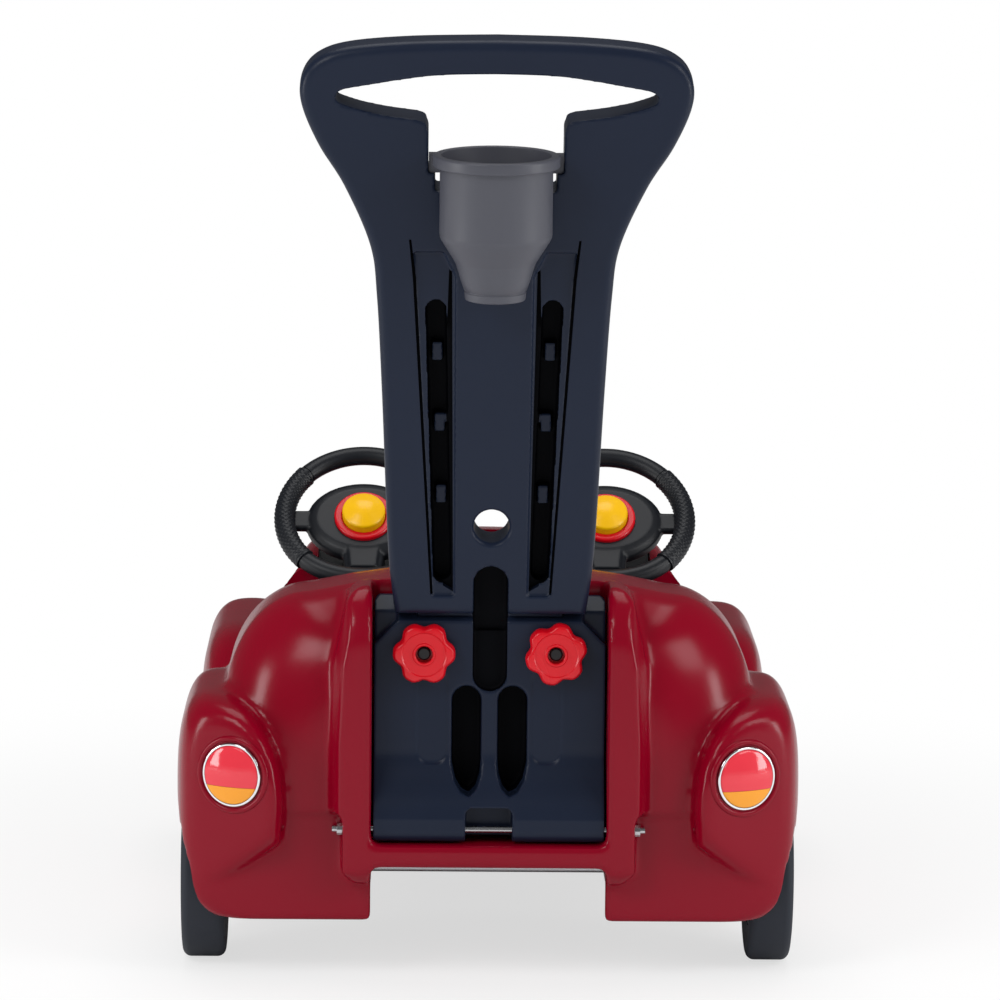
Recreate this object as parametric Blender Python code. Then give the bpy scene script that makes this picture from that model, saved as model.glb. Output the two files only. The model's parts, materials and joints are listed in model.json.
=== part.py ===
"""A two-seat ride-on car with a push handle, built as separate pieces.

Lengths are in metres. X runs across the car, Y forward and Z up, and the floor is z = 0.
Every size that can be chosen by itself is a named value in the first part of the script.
What fits another piece is worked out from that piece's sizes and a named clearance.
"""
import math

import bmesh
import bpy
from mathutils import Vector
from mathutils.geometry import tessellate_polygon

# Where the car's own zero lies: ahead of the middle of its whole length, and over the floor
MIDDLE_SHIFT = 0.06643
FLOOR_DROP = 0.0045

# Gaps between pieces
SEAT_GAP = 0.0003
RUNNING_GAP = 0.0001
SWING_GAP = 0.0010

# Body shell
SHELL_WALL = 0.0050
TAIL_Y = -0.3520
PANEL_Y = -0.3465
NOSE_Y = 0.3850
DECK_HALF = 0.2590
DECK_TOP = 0.3860
DECK_CORNER = 0.0850
DECK_SHOULDER = 0.1200
DECK_CROWN = 0.0200
DECK_FRONT_Y = -0.1900
TAIL_RADIUS = 0.0900
DOOR_HALF = 0.2560
DOOR_TOP = 0.2830
DOOR_CORNER = 0.0280
DOOR_CROWN = 0.0040
HOOD_HALF = 0.1930
HOOD_TOP = 0.3520
HOOD_CORNER = 0.0240
HOOD_CROWN = 0.0100
NOSE_RADIUS = 0.0750
TUB_BOTTOM = 0.1620
LOWER_TOP = 0.1710
SKIRT_BOTTOM = 0.0550
SKIRT_HALF = 0.2920
SKIRT_CORNER = 0.0380
SILL_HALF = 0.2600
APRON_HALF = 0.2920

# Rear fenders: a rounded pod, squarer on its outer side. Its outline goes round its top point's line.
REAR_FENDER_X = 0.2620
REAR_FENDER_Z = 0.1700
REAR_FENDER_OUTER = 0.0405
REAR_FENDER_INNER = 0.0680
REAR_FENDER_RISE = 0.1020
REAR_FENDER_DROP = 0.1180
REAR_FENDER_BACK = -0.3590
REAR_FENDER_FRONT = -0.0950
REAR_FENDER_TAIL = 0.0870
REAR_FENDER_NOSE = 0.1200
REAR_FENDER_ARC = (-68.0, 200.0)
REAR_FENDER_END = (0.2335, 0.1300, 0.4500)
OUTER_SQUARENESS = 3.2
INNER_SQUARENESS = 2.1
LAMP_FACE_SCALE = 0.62

# Front fenders
FRONT_FENDER_X = 0.2500
FRONT_FENDER_Z = 0.1600
FRONT_FENDER_OUTER = 0.0480
FRONT_FENDER_INNER = 0.0800
FRONT_FENDER_RISE = 0.0970
FRONT_FENDER_BACK = 0.0950
FRONT_FENDER_FRONT = 0.3720
FRONT_FENDER_TAIL = 0.1100
FRONT_FENDER_NOSE = 0.0700
FRONT_FENDER_ARC = (-20.0, 200.0)
FRONT_FENDER_END = (0.2200, 0.1300, 0.5000)

# Channel at the back that holds the handle base between two rails
CHANNEL_SIDE_GAP = 0.0020
CHANNEL_FRONT_Y = -0.2950
CHANNEL_FLOOR_GAP = 0.0015
CHANNEL_WALL = 0.0060
RAIL_LOW_WIDTH = 0.0275
RAIL_WIDTH = 0.0410
RAIL_NARROWING = ((0.230, 0.0000), (0.310, 0.0040), (0.362, 0.0150))
RAIL_TOP_CORNER = 0.0200
RAIL_DRAFT = 0.0110
RAIL_STAND = 0.0200
RAIL_BEND = 0.0620
RAIL_OVER_DECK = 0.0020
RAIL_FOOT_CHAMFER = 0.0110
RAIL_BACK_Y = -0.3720
RAIL_BOTTOM = 0.0950
BAR_BOTTOM = 0.1125

# Cockpit
OPENING_HALF = 0.2250
OPENING_BACK_Y = -0.1880
OPENING_FRONT_Y = 0.1500
OPENING_CORNER = 0.0300
INSERT_WALL = 0.0045
INSERT_FLOOR = 0.1000
SEAT_STEP_Y = -0.0050
SEAT_HEIGHT = 0.2000
INSERT_SIDE_TOP = 0.2600
INSERT_BACK_TOP = 0.3150
SEAT_THICKNESS = 0.0140

# Dashboard
DASH_HALF = 0.1750
DASH_FRONT_Y = 0.2150
DASH_TOP = 0.3400
DASH_BOTTOM = 0.2150
DASH_DEPTH = 0.0400

# Steering wheels
STEER_X = 0.1270
STEER_Y = 0.1400
STEER_Z = 0.3745
STEER_TILT = math.radians(46.0)
STEER_RADIUS = 0.0942
STEER_TUBE = 0.0100
STEER_GRIP_TUBE = 0.0113
STEER_FLAT = 0.0060
HUB_HALF_WIDE = 0.0610
HUB_HALF_TALL = 0.0500
HUB_HEIGHT = 0.0200
HUB_DEPTH = 0.0180
SPOKE_WIDTH = 0.0240
SPOKE_THICKNESS = 0.0090
SPOKE_DROP = 0.0060
SPOKE_BITE = 0.0100
HORN_RING_RADIUS = 0.0308
HORN_RING_HEIGHT = 0.0070
HORN_RADIUS = 0.0225
HORN_HEIGHT = 0.0175
HORN_TRAVEL = 0.0040
HORN_WELL_RADIUS = 0.0160
HORN_WELL_DEPTH = 0.0130
COLUMN_RADIUS = 0.0110
COLUMN_IN_DASH = 0.0260
SPRING_RADIUS = 0.0085
SPRING_WIRE = 0.0007
SPRING_CURLS = 4

# Wheels
REAR_AXLE_Y = -0.2350
REAR_WHEEL_RADIUS = 0.0895
REAR_TYRE_WIDTH = 0.0420
REAR_TYRE_OUTER_X = 0.2980
REAR_HUB_RADIUS = 0.0560
REAR_AXLE_RADIUS = 0.0050
ARCH_GAP = 0.0100
CARRIER_INNER_X = 0.1500
CARRIER_WIDTH = 0.0500
CARRIER_BOTTOM = 0.0620
CARRIER_TOP = 0.1400

# Front casters
CASTER_X = 0.2050
CASTER_Y = 0.2500
CASTER_TRAIL = 0.0300
CASTER_WHEEL_RADIUS = 0.0570
CASTER_TYRE_WIDTH = 0.0340
CASTER_HUB_RADIUS = 0.0360
CASTER_AXLE_RADIUS = 0.0040
FORK_ARM = 0.0060
FORK_SIDE_GAP = 0.0020
FORK_WHEEL_GAP = 0.0060
STEM_SEAT = 0.0030
FORK_TOP = 0.1310
FORK_CROWN_RADIUS = 0.0230
STEM_RADIUS = 0.0050
STEM_LENGTH = 0.0480
BEAM_BOTTOM = 0.1500
BEAM_TOP = 0.1660
BEAM_HALF = 0.2600
BEAM_FRONT_Y = 0.3000
BOSS_RADIUS = 0.0200
FRONT_ARCH_Z = 0.0460
FRONT_ARCH_RADIUS = 0.0880

# Lights and grille
TAIL_LIGHT_X = 0.2465
TAIL_LIGHT_Z = 0.2010
TAIL_LIGHT_TURN = math.radians(25.0)
TAIL_LIGHT_RADIUS = 0.0310
TAIL_LENS_RADIUS = 0.0285
TAIL_SPLIT = -0.0110
LIGHT_RECESS = 0.0060
LAMP_RIM = 0.0020
LENS_EDGE = 0.0022
LIGHT_STAND = 0.0040
HEAD_LIGHT_X = 0.2400
HEAD_LIGHT_Z = 0.1950
HEAD_LIGHT_TURN = math.radians(12.0)
HEAD_LIGHT_RADIUS = 0.0380
HEAD_LENS_RADIUS = 0.0340
HEAD_LENS_DOME = 0.0100
GRILLE_HALF = 0.0950
GRILLE_BOTTOM = 0.1250
GRILLE_TOP = 0.2050
GRILLE_BARS = 6
GRILLE_BAR = 0.0070
GRILLE_THICKNESS = 0.0080

# Push handle, drawn in its own leaning plane
HANDLE_LEAN = math.radians(12.0)
HANDLE_FOOT_Y = -0.3450
HANDLE_FOOT_Z = 0.3450
HANDLE_DEPTH = 0.0360
HANDLE_BOTTOM = 0.0100
HANDLE_FOOT_HALF = 0.0915
HANDLE_SIDE_GAP = 0.0005
HANDLE_TOP = 0.5790
HANDLE_EDGE = 0.0090
TONGUE_HALF = 0.0700
TONGUE_INSET = 0.0040
TONGUE_DEPTH = 0.0160
TONGUE_LENGTH = 0.0350
PANEL_FOOT_HALF = 0.0345
PANEL_TOP_HALF = 0.0365
GROOVE_DEPTH = 0.0040
GROOVE_OUTER = ((0.0565, 0.0300), (0.0750, 0.3520), (0.0700, 0.3740))
SLOT_DEPTH = 0.0240
HANDLE_SLOT = (0.3330, 0.0450, 0.0095, 0.0085, 0.0560, 0.0465)
EYE_HEIGHT = 0.1010
EYE_RADIUS = 0.0170
CUP_STEP = 0.4520
CUP_STEP_HALF = 0.0630
CUP_NOTCH_BOTTOM = 0.4350
CUP_NOTCH_HALF = 0.0565
CUP_ROOM_GAP = 0.0040

# Handle base
BASE_HALF = 0.1112
BASE_BACK_Y = -0.3380
BASE_FRONT_Y = -0.3000
BASE_EAR_TOP = 0.3690
BASE_PLATE_TOP = 0.3480
BASE_EAR_HALF = 0.0930
BASE_EAR_LOW = 0.3400
PLATE_TOP_HALF = 0.0890
BASE_FLARE_TOP = 0.2160
BASE_FLARE_BOTTOM = 0.1740
BASE_SLOT_X = 0.0222
BASE_SLOT_HALF = 0.0140
BASE_SLOT_TOP = 0.2710
BASE_SLOT_DEPTH = 0.0240
HINGE_Y = -0.3535
HINGE_Z = 0.1480
HINGE_BARREL = 0.0120
ROD_RADIUS = 0.0032
ROD_REACH = 0.0100
NUT_ACROSS = 0.0058
NUT_THICKNESS = 0.0050
NOTCH_HALF = 0.0225
NOTCH_TOP = 0.1700

# Knobs
KNOB_X = 0.0633
KNOB_Z = 0.3185
KNOB_RADIUS = 0.0300
KNOB_LOBES = 6
KNOB_LOBE_DEPTH = 0.0045
KNOB_THICKNESS = 0.0180
KNOB_EDGE = 0.0040
KNOB_BORE = 0.0085
KNOB_BORE_DEPTH = 0.0110
BOLT_RADIUS = 0.0030
BOLT_PAST = 0.0080

# Cup holder
CUP_Y = -0.4620
CUP_RIM_Z = 0.8075
CUP_LEAN = math.radians(4.0)
CUP_RIM_RADIUS = 0.0590
CUP_BODY_RADIUS = 0.0525
CUP_BOTTOM_RADIUS = 0.0260
CUP_DEPTH = 0.1360
CUP_STRAIGHT = 0.0820
CUP_WALL = 0.0025
CUP_LIP = 0.0110
CUP_FOOT = 0.0080
LUG_INNER = 0.0446
LUG_HEIGHT = 0.0180
LUG_NEAR = 0.0040
LUG_FAR = 0.0120

# Number of facets on round pieces
ROUND_FINE = 24
ROUND_SPIN = 24
ROUND = 16
ROUND_SMALL = 16
TUBE_SIDES = 8
STEER_STEPS = 22
CURL_STEPS = 7

SIDES = (("left", -1.0), ("right", 1.0))


def clear_scene():
    for item in list(bpy.data.objects):
        bpy.data.objects.remove(item, do_unlink=True)


def plastic(name, colour, roughness, metallic=0.0):
    material = bpy.data.materials.get(name)
    if material is None:
        material = bpy.data.materials.new(name)
        material.use_nodes = True
        shader = material.node_tree.nodes["Principled BSDF"]
        shader.inputs["Base Color"].default_value = (*colour, 1.0)
        shader.inputs["Roughness"].default_value = roughness
        shader.inputs["Metallic"].default_value = metallic
        material.diffuse_color = (*colour, 1.0)
    return material


def body_red():
    return plastic("body_red", (0.26, 0.006, 0.016), 0.32)


def handle_black():
    return plastic("handle_black", (0.018, 0.022, 0.033), 0.45)


def inside_black():
    return plastic("inside_black", (0.020, 0.021, 0.024), 0.55)


def wheel_black():
    return plastic("wheel_black", (0.012, 0.014, 0.018), 0.42)


def tyre_slate():
    return plastic("tyre_slate", (0.024, 0.028, 0.040), 0.65)


def hub_grey():
    return plastic("hub_grey", (0.30, 0.31, 0.33), 0.40)


def cup_grey():
    return plastic("cup_grey", (0.100, 0.098, 0.108), 0.48)


def knob_red():
    return plastic("knob_red", (0.68, 0.010, 0.014), 0.35)


def horn_yellow():
    return plastic("horn_yellow", (0.92, 0.52, 0.0), 0.30)


def lens_red():
    return plastic("lens_red", (0.72, 0.045, 0.060), 0.12)


def lens_amber():
    return plastic("lens_amber", (0.85, 0.33, 0.02), 0.12)


def lens_clear():
    return plastic("lens_clear", (0.80, 0.82, 0.84), 0.08)


def chrome():
    return plastic("chrome", (0.78, 0.79, 0.81), 0.12, 1.0)


def steel():
    return plastic("steel", (0.55, 0.56, 0.58), 0.28, 1.0)


def bolt_black():
    return plastic("bolt_black", (0.010, 0.010, 0.012), 0.50, 0.6)


def make_object(name, bm, material, smooth=False):
    bmesh.ops.remove_doubles(bm, verts=bm.verts, dist=1e-7)
    bmesh.ops.recalc_face_normals(bm, faces=bm.faces)
    mesh = bpy.data.meshes.new(name)
    bm.to_mesh(mesh)
    bm.free()
    for face in mesh.polygons:
        face.use_smooth = smooth
    item = bpy.data.objects.new(name, mesh)
    bpy.context.collection.objects.link(item)
    if material is not None:
        mesh.materials.append(material)
    return item


def hide_guide(item):
    item.hide_render = True
    item.display_type = "WIRE"
    return item


def combine(item, operation, *guides):
    for guide in guides:
        modifier = item.modifiers.new(operation.lower(), "BOOLEAN")
        modifier.operation = operation
        modifier.solver = "EXACT"
        modifier.object = hide_guide(guide)
    return item


def cut(item, *guides):
    return combine(item, "DIFFERENCE", *guides)


def weld(item, *guides):
    return combine(item, "UNION", *guides)


def loft(name, rings, material=None, smooth=False):
    """A closed solid through rings that have the same number of points."""
    bm = bmesh.new()
    rows = [[bm.verts.new(point) for point in ring] for ring in rings]
    count = len(rows[0])
    for near, far in zip(rows, rows[1:]):
        for index in range(count):
            after = (index + 1) % count
            bm.faces.new((near[index], near[after], far[after], far[index]))
    bm.faces.new(rows[0])
    bm.faces.new(rows[-1])
    return make_object(name, bm, material, smooth)


def prism(name, outline, low, high, axis, material=None, smooth=False):
    """An outline pushed along one axis. The outline holds the other two coordinates in order."""
    def place(pair, depth):
        if axis == "X":
            return (depth, pair[0], pair[1])
        if axis == "Y":
            return (pair[0], depth, pair[1])
        return (pair[0], pair[1], depth)

    rings = [[place(pair, depth) for pair in outline] for depth in (low, high)]
    return loft(name, rings, material, smooth)


def block(name, x_range, y_range, z_range, material=None):
    outline = [
        (x_range[0], y_range[0]),
        (x_range[1], y_range[0]),
        (x_range[1], y_range[1]),
        (x_range[0], y_range[1]),
    ]
    return prism(name, outline, z_range[0], z_range[1], "Z", material)


def turned(name, profile, frame, segments=ROUND, material=None, smooth=True):
    """A closed profile of (radius, height) pairs turned about the frame's third axis."""
    bm = bmesh.new()
    rings = []
    for radius, height in profile:
        if radius < 1e-9:
            rings.append([bm.verts.new(frame(0.0, 0.0, height))])
            continue
        ring = []
        for step in range(segments):
            angle = 2.0 * math.pi * step / segments
            ring.append(bm.verts.new(frame(radius * math.cos(angle), radius * math.sin(angle), height)))
        rings.append(ring)
    for near, far in zip(rings, rings[1:] + rings[:1]):
        for index in range(segments):
            after = (index + 1) % segments
            corners = [near[index % len(near)], near[after % len(near)], far[after % len(far)], far[index % len(far)]]
            unique = list(dict.fromkeys(corners))
            if len(unique) > 2:
                bm.faces.new(unique)
    return make_object(name, bm, material, smooth)


def frame_at(origin, across, along):
    """A function that turns local (x, y, z) into world places, with z along the last direction."""
    start = Vector(origin)
    third = Vector(along).normalized()
    first = Vector(across).normalized()
    second = third.cross(first)
    return lambda x, y, z: start + first * x + second * y + third * z


def rod(name, start, direction, length, radius, segments=ROUND_SMALL, material=None):
    across = (0.0, 1.0, 0.0) if abs(direction[0]) > 0.5 else (1.0, 0.0, 0.0)
    profile = [(0.0, 0.0), (radius, 0.0), (radius, length), (0.0, length)]
    return turned(name, profile, frame_at(start, across, direction), segments, material)


def rounded_rectangle(low, high, radius, steps=3):
    points = []
    corners = (
        (high[0] - radius, low[1] + radius, -90.0),
        (high[0] - radius, high[1] - radius, 0.0),
        (low[0] + radius, high[1] - radius, 90.0),
        (low[0] + radius, low[1] + radius, 180.0),
    )
    for x, y, start in corners:
        for step in range(steps + 1):
            angle = math.radians(start + 90.0 * step / steps)
            points.append((x + radius * math.cos(angle), y + radius * math.sin(angle)))
    return points


def smooth_through(points, steps):
    """Points on a Catmull-Rom curve through the given ones, ends kept."""
    result = []
    padded = [points[0]] + list(points) + [points[-1]]
    for before, start, end, after in zip(padded, padded[1:], padded[2:], padded[3:]):
        for step in range(steps):
            t = step / steps
            pair = []
            for axis in (0, 1):
                a, b, c, d = before[axis], start[axis], end[axis], after[axis]
                pair.append(0.5 * (2 * b + (c - a) * t + (2 * a - 5 * b + 4 * c - d) * t * t
                                   + (3 * b - a - 3 * c + d) * t ** 3))
            result.append(tuple(pair))
    result.append(tuple(points[-1]))
    return result


def mirrored_loop(half):
    """A closed loop from a half outline that starts and ends on the middle line."""
    other = [(-x, y) for x, y in reversed(half) if x > 1e-9]
    return list(half) + other


def signed_area(loop):
    return 0.5 * sum(a[0] * b[1] - b[0] * a[1] for a, b in zip(loop, loop[1:] + loop[:1]))


def inset_loop(loop, distance):
    """Move each point of a loop to its left by a distance, with mitred corners."""
    result = []
    for before, here, after in zip(loop[-1:] + loop[:-1], loop, loop[1:] + loop[:1]):
        first = Vector((here[0] - before[0], here[1] - before[1])).normalized()
        second = Vector((after[0] - here[0], after[1] - here[1])).normalized()
        side = Vector((-first.y - second.y, first.x + second.x)).normalized()
        reach = max(0.5, side.dot(Vector((-first.y, first.x))))
        result.append((here[0] + side.x * distance / reach, here[1] + side.y * distance / reach))
    return result


def rounded_plate(name, outer, holes, layers, place, material, smooth=True):
    """A plate with holes. Layers hold (depth, inset) pairs, so its edges can be rounded."""
    loops = [outer if signed_area(outer) > 0 else outer[::-1]]
    loops += [hole if signed_area(hole) < 0 else hole[::-1] for hole in holes]
    bm = bmesh.new()
    levels = []
    for depth, inset in layers:
        flat = [inset_loop(loop, inset) for loop in loops]
        levels.append([[bm.verts.new(place(x, y, depth)) for x, y in loop] for loop in flat])
    for near, far in zip(levels, levels[1:]):
        for near_loop, far_loop in zip(near, far):
            for index in range(len(near_loop)):
                after = (index + 1) % len(near_loop)
                bm.faces.new((near_loop[index], near_loop[after], far_loop[after], far_loop[index]))
    for level, (depth, inset) in ((levels[0], layers[0]), (levels[-1], layers[-1])):
        flat = [[Vector((x, y, 0.0)) for x, y in inset_loop(loop, inset)] for loop in loops]
        vertices = [vertex for loop in level for vertex in loop]
        for triangle in tessellate_polygon(flat):
            bm.faces.new([vertices[index] for index in triangle])
    return make_object(name, bm, material, smooth)


def round_edge(depth, radius, steps=3):
    """Layers of a plate with both edges rounded."""
    layers = []
    for step in range(steps + 1):
        angle = 0.5 * math.pi * step / steps
        layers.append((radius * (1.0 - math.cos(angle)), radius * (1.0 - math.sin(angle))))
    return layers + [(depth - low, inset) for low, inset in reversed(layers)]


def set_origin(item, point):
    item.data.transform(item.matrix_world.inverted())
    shift = Vector(point)
    for vertex in item.data.vertices:
        vertex.co -= shift
    item.location = shift


# Body shell

def tub_ring(y, half, top, corner, tall, crown, inset):
    """One section of the tub: straight sides, oval shoulders and a crowned top."""
    reach = half - corner
    middle = (reach, top - crown - tall)
    side = [(half - inset, TUB_BOTTOM - inset)]
    turns = 2 if inset else 4
    for step in range(turns + 1):
        angle = math.radians(90.0 * step / turns)
        side.append((middle[0] + (corner - inset) * math.cos(angle), middle[1] + (tall - inset) * math.sin(angle)))
    side.append((reach * 0.5, top - inset - crown * 0.25))
    side.append((0.0, top - inset))
    ring = side + [(-x, z) for x, z in reversed(side[:-1])]
    return [(x, y, z) for x, z in ring]


def tub_solid(name, inset):
    """The upper body: rounded tail, deck, low doors, cowl, hood and nose."""
    rows = []
    for degrees in (0, 30, 60, 90):
        angle = math.radians(degrees)
        drawn_in = TAIL_RADIUS * (1.0 - math.sin(angle))
        y = TAIL_Y + TAIL_RADIUS * (1.0 - math.cos(angle))
        deck = (DECK_CORNER - 0.15 * drawn_in, DECK_SHOULDER - 0.15 * drawn_in, DECK_CROWN)
        rows.append((y, DECK_HALF - drawn_in, DECK_TOP - drawn_in, *deck))
    door = (DOOR_HALF, DOOR_TOP, DOOR_CORNER, DOOR_CORNER, DOOR_CROWN)
    sloped = (0.7 * DECK_CORNER, 0.7 * DECK_SHOULDER, 0.6 * DECK_CROWN)
    hood = (HOOD_CORNER, HOOD_CORNER, HOOD_CROWN)
    rows.append((DECK_FRONT_Y, DECK_HALF, DECK_TOP - 0.003, DECK_CORNER, DECK_SHOULDER, DECK_CROWN))
    rows.append((DECK_FRONT_Y + 0.045, DECK_HALF - 0.002, DECK_TOP - 0.034, *sloped))
    rows.append((DECK_FRONT_Y + 0.100, *door))
    rows.append((OPENING_FRONT_Y - 0.080, *door))
    rows.append((OPENING_FRONT_Y - 0.025, DOOR_HALF - 0.014, DOOR_TOP + 0.006, *door[2:]))
    rows.append((OPENING_FRONT_Y + 0.012, HOOD_HALF + 0.004, HOOD_TOP - 0.008, *hood))
    rows.append((DASH_FRONT_Y + 0.005, HOOD_HALF, HOOD_TOP, *hood))
    for degrees in (90, 60, 30, 0):
        angle = math.radians(degrees)
        drawn_in = NOSE_RADIUS * (1.0 - math.sin(angle))
        y = NOSE_Y - NOSE_RADIUS * (1.0 - math.cos(angle))
        rows.append((y, HOOD_HALF - 0.004 - 0.8 * drawn_in, HOOD_TOP - 0.012 - drawn_in, *hood))
    rings = []
    for y, *sizes in rows:
        inner_y = min(max(y, TAIL_Y + inset), NOSE_Y - inset)
        rings.append(tub_ring(inner_y, *sizes, inset))
    return loft(name, rings, body_red(), True)


def lower_solid(name, inset):
    """The lower body: flat back panel, side skirts, sills and front apron."""
    rows = (
        (PANEL_Y + inset, SKIRT_HALF, SKIRT_CORNER),
        (-0.140, SKIRT_HALF, SKIRT_CORNER),
        (-0.100, SILL_HALF, 0.016),
        (0.095, SILL_HALF, 0.016),
        (0.130, APRON_HALF, 0.020),
        (0.325, APRON_HALF, 0.020),
        (0.362, APRON_HALF - 0.018, 0.020),
        (0.374, APRON_HALF - 0.060, 0.020),
        (NOSE_Y - 0.002 - 1.4 * inset, APRON_HALF - 0.120, 0.020),
    )
    low = SKIRT_BOTTOM if inset == 0.0 else -0.050
    rings = []
    for y, half, corner in rows:
        reach = half - inset
        bend = 0.001 if inset else corner
        side = [(reach, LOWER_TOP - inset), (reach, low + bend)]
        if inset:
            side[1] = (reach, SKIRT_BOTTOM + corner)
        for step in (1, 2, 3):
            angle = math.radians(30.0 * step)
            side.append((reach - corner * (1 - math.cos(angle)), SKIRT_BOTTOM + corner * (1 - math.sin(angle))))
        if inset:
            side.append((reach - corner, low))
        rings.append([(x, y, z) for x, z in side] + [(-x, y, z) for x, z in reversed(side)])
    return loft(name, rings, body_red(), True)


def fender_ring(middle, outer, inner, rise, drop, arc, steps):
    """Part of a squared oval with two reaches, closed by a straight edge from last point to first."""
    ring = []
    for step in range(steps + 1):
        angle = math.radians(arc[0] + (arc[1] - arc[0]) * step / steps)
        outside = math.cos(angle) > 0.0
        power = 2.0 / (OUTER_SQUARENESS if outside else INNER_SQUARENESS)
        reach = outer if outside else inner
        x = reach * math.copysign(abs(math.cos(angle)) ** power, math.cos(angle))
        height = rise if math.sin(angle) > 0.0 else drop
        z = height * math.copysign(abs(math.sin(angle)) ** power, math.sin(angle))
        ring.append((middle[0] + x, middle[1] + z))
    return ring


def fender_solid(name, side, ring, ends, inset):
    """A pod that swells from a small ring at each end to the full ring.

    Each end holds its y, its length, its way along Y, its middle and scale, and its turn outward.
    """
    rings = []
    shares = (0.0, 0.20, 1.0) if inset else (0.0, 0.08, 0.30, 1.0)
    for order, (start, length, towards, centre, turn) in enumerate(ends):
        for share in (shares[::-1] if order else shares):
            swell = (1.0 - (1.0 - share) ** 3) ** (1.0 / 3.0)
            scale = centre[2] + (1.0 - centre[2]) * swell
            y = start + towards * (inset + share * (length - inset))
            slope = towards * math.tan(turn) * (1.0 - share)
            points = []
            for x, z in ring:
                aside = scale * (x - centre[0])
                points.append((side * (centre[0] + aside), y + slope * aside, centre[1] + scale * (z - centre[1])))
            rings.append(points)
    return loft(name, rings, body_red(), True)


def rear_fender(name, side, inset):
    ring = fender_ring((REAR_FENDER_X, REAR_FENDER_Z), REAR_FENDER_OUTER - inset, REAR_FENDER_INNER - inset,
                       REAR_FENDER_RISE - inset, REAR_FENDER_DROP - inset, REAR_FENDER_ARC, 8 if inset else 12)
    lamp = (TAIL_LIGHT_X, TAIL_LIGHT_Z, LAMP_FACE_SCALE)
    tail = (REAR_FENDER_BACK, REAR_FENDER_TAIL, 1.0, lamp, TAIL_LIGHT_TURN)
    nose = (REAR_FENDER_FRONT, REAR_FENDER_NOSE, -1.0, REAR_FENDER_END, 0.0)
    return fender_solid(name, side, ring, (tail, nose), inset)


def front_fender(name, side, inset):
    ring = fender_ring((FRONT_FENDER_X, FRONT_FENDER_Z), FRONT_FENDER_OUTER - inset, FRONT_FENDER_INNER - inset,
                       FRONT_FENDER_RISE - inset, FRONT_FENDER_RISE - inset, FRONT_FENDER_ARC, 8 if inset else 11)
    lamp = (HEAD_LIGHT_X, HEAD_LIGHT_Z, LAMP_FACE_SCALE)
    tail = (FRONT_FENDER_BACK, FRONT_FENDER_TAIL, 1.0, FRONT_FENDER_END, 0.0)
    nose = (FRONT_FENDER_FRONT, FRONT_FENDER_NOSE, -1.0, lamp, HEAD_LIGHT_TURN)
    return fender_solid(name, side, ring, (tail, nose), inset)


def channel_half():
    return BASE_HALF + CHANNEL_SIDE_GAP


def channel_floor():
    return HINGE_Z - HINGE_BARREL - CHANNEL_FLOOR_GAP


def rail_rear_view():
    """The two rails together as seen from behind, narrower towards the top."""
    half = channel_half() + RAIL_WIDTH
    side = [(0.0, RAIL_BOTTOM - 0.020), (half, RAIL_BOTTOM - 0.020)]
    side += [(half - narrower, z) for z, narrower in RAIL_NARROWING]
    x, z = side[-1]
    for degrees in (30, 60, 90):
        angle = math.radians(degrees)
        side.append((x - RAIL_TOP_CORNER * (1.0 - math.cos(angle)), z + RAIL_TOP_CORNER * math.sin(angle)))
    side.append((0.0, z + RAIL_TOP_CORNER))
    return mirrored_loop(side)


def rail_side_view():
    front = CHANNEL_FRONT_Y + CHANNEL_WALL
    top = DECK_TOP + RAIL_OVER_DECK
    profile = [(front, RAIL_BOTTOM), (RAIL_BACK_Y + 0.010, RAIL_BOTTOM), (RAIL_BACK_Y, RAIL_BOTTOM + 0.012)]
    for degrees in (180.0, 157.5, 135.0, 112.5, 90.0):
        angle = math.radians(degrees)
        y = RAIL_BACK_Y + RAIL_BEND * (1.0 + math.cos(angle))
        profile.append((y, top - RAIL_BEND * (1.0 - math.sin(angle))))
    return profile + [(front, top)]


def rail_low_half():
    return channel_half() + RAIL_LOW_WIDTH


def channel_solid():
    """The two rails with the wall and the bar between them, before the channel is cut."""
    depth = CHANNEL_FRONT_Y + CHANNEL_WALL + 0.001 - RAIL_BACK_Y
    layers = [(-0.001, RAIL_DRAFT), (RAIL_STAND, 0.0), (depth, 0.0)]
    item = rounded_plate("channel_guide", rail_rear_view(), [], layers, lambda x, z, d: (x, RAIL_BACK_Y + d, z), None)
    reach = channel_half() + RAIL_WIDTH + 0.010
    combine(item, "INTERSECT", prism("rail_side_guide", rail_side_view(), -reach, reach, "X"))
    low = rail_low_half()
    ledge = TUB_BOTTOM + 0.0015
    for word, side in SIDES:
        step = [
            (low, ledge),
            (low, RAIL_BOTTOM + RAIL_FOOT_CHAMFER),
            (low - RAIL_FOOT_CHAMFER, RAIL_BOTTOM - 0.001),
            (reach, RAIL_BOTTOM - 0.001),
            (reach, ledge),
        ]
        cut(item, prism("rail_step_" + word, [(side * x, z) for x, z in step], -0.450, PANEL_Y + 0.002, "Y"))
    return item


def cockpit_outline(gap):
    half = OPENING_HALF - gap
    return rounded_rectangle((-half, OPENING_BACK_Y + gap), (half, OPENING_FRONT_Y - gap), OPENING_CORNER - gap)


def opening_outline():
    """The cockpit opening, with a narrower bay ahead of it for the dashboard."""
    back_corner = (OPENING_HALF - OPENING_CORNER, OPENING_BACK_Y + OPENING_CORNER)
    front_corner = (OPENING_HALF - OPENING_CORNER, OPENING_FRONT_Y - OPENING_CORNER)
    half = [(0.0, OPENING_BACK_Y)]
    for centre, start in ((back_corner, -90.0), (front_corner, 0.0)):
        for step in range(4):
            angle = math.radians(start + 30.0 * step)
            half.append((centre[0] + OPENING_CORNER * math.cos(angle), centre[1] + OPENING_CORNER * math.sin(angle)))
    half += [(DASH_HALF, OPENING_FRONT_Y), (DASH_HALF, DASH_FRONT_Y), (0.0, DASH_FRONT_Y)]
    return mirrored_loop(half)


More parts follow.
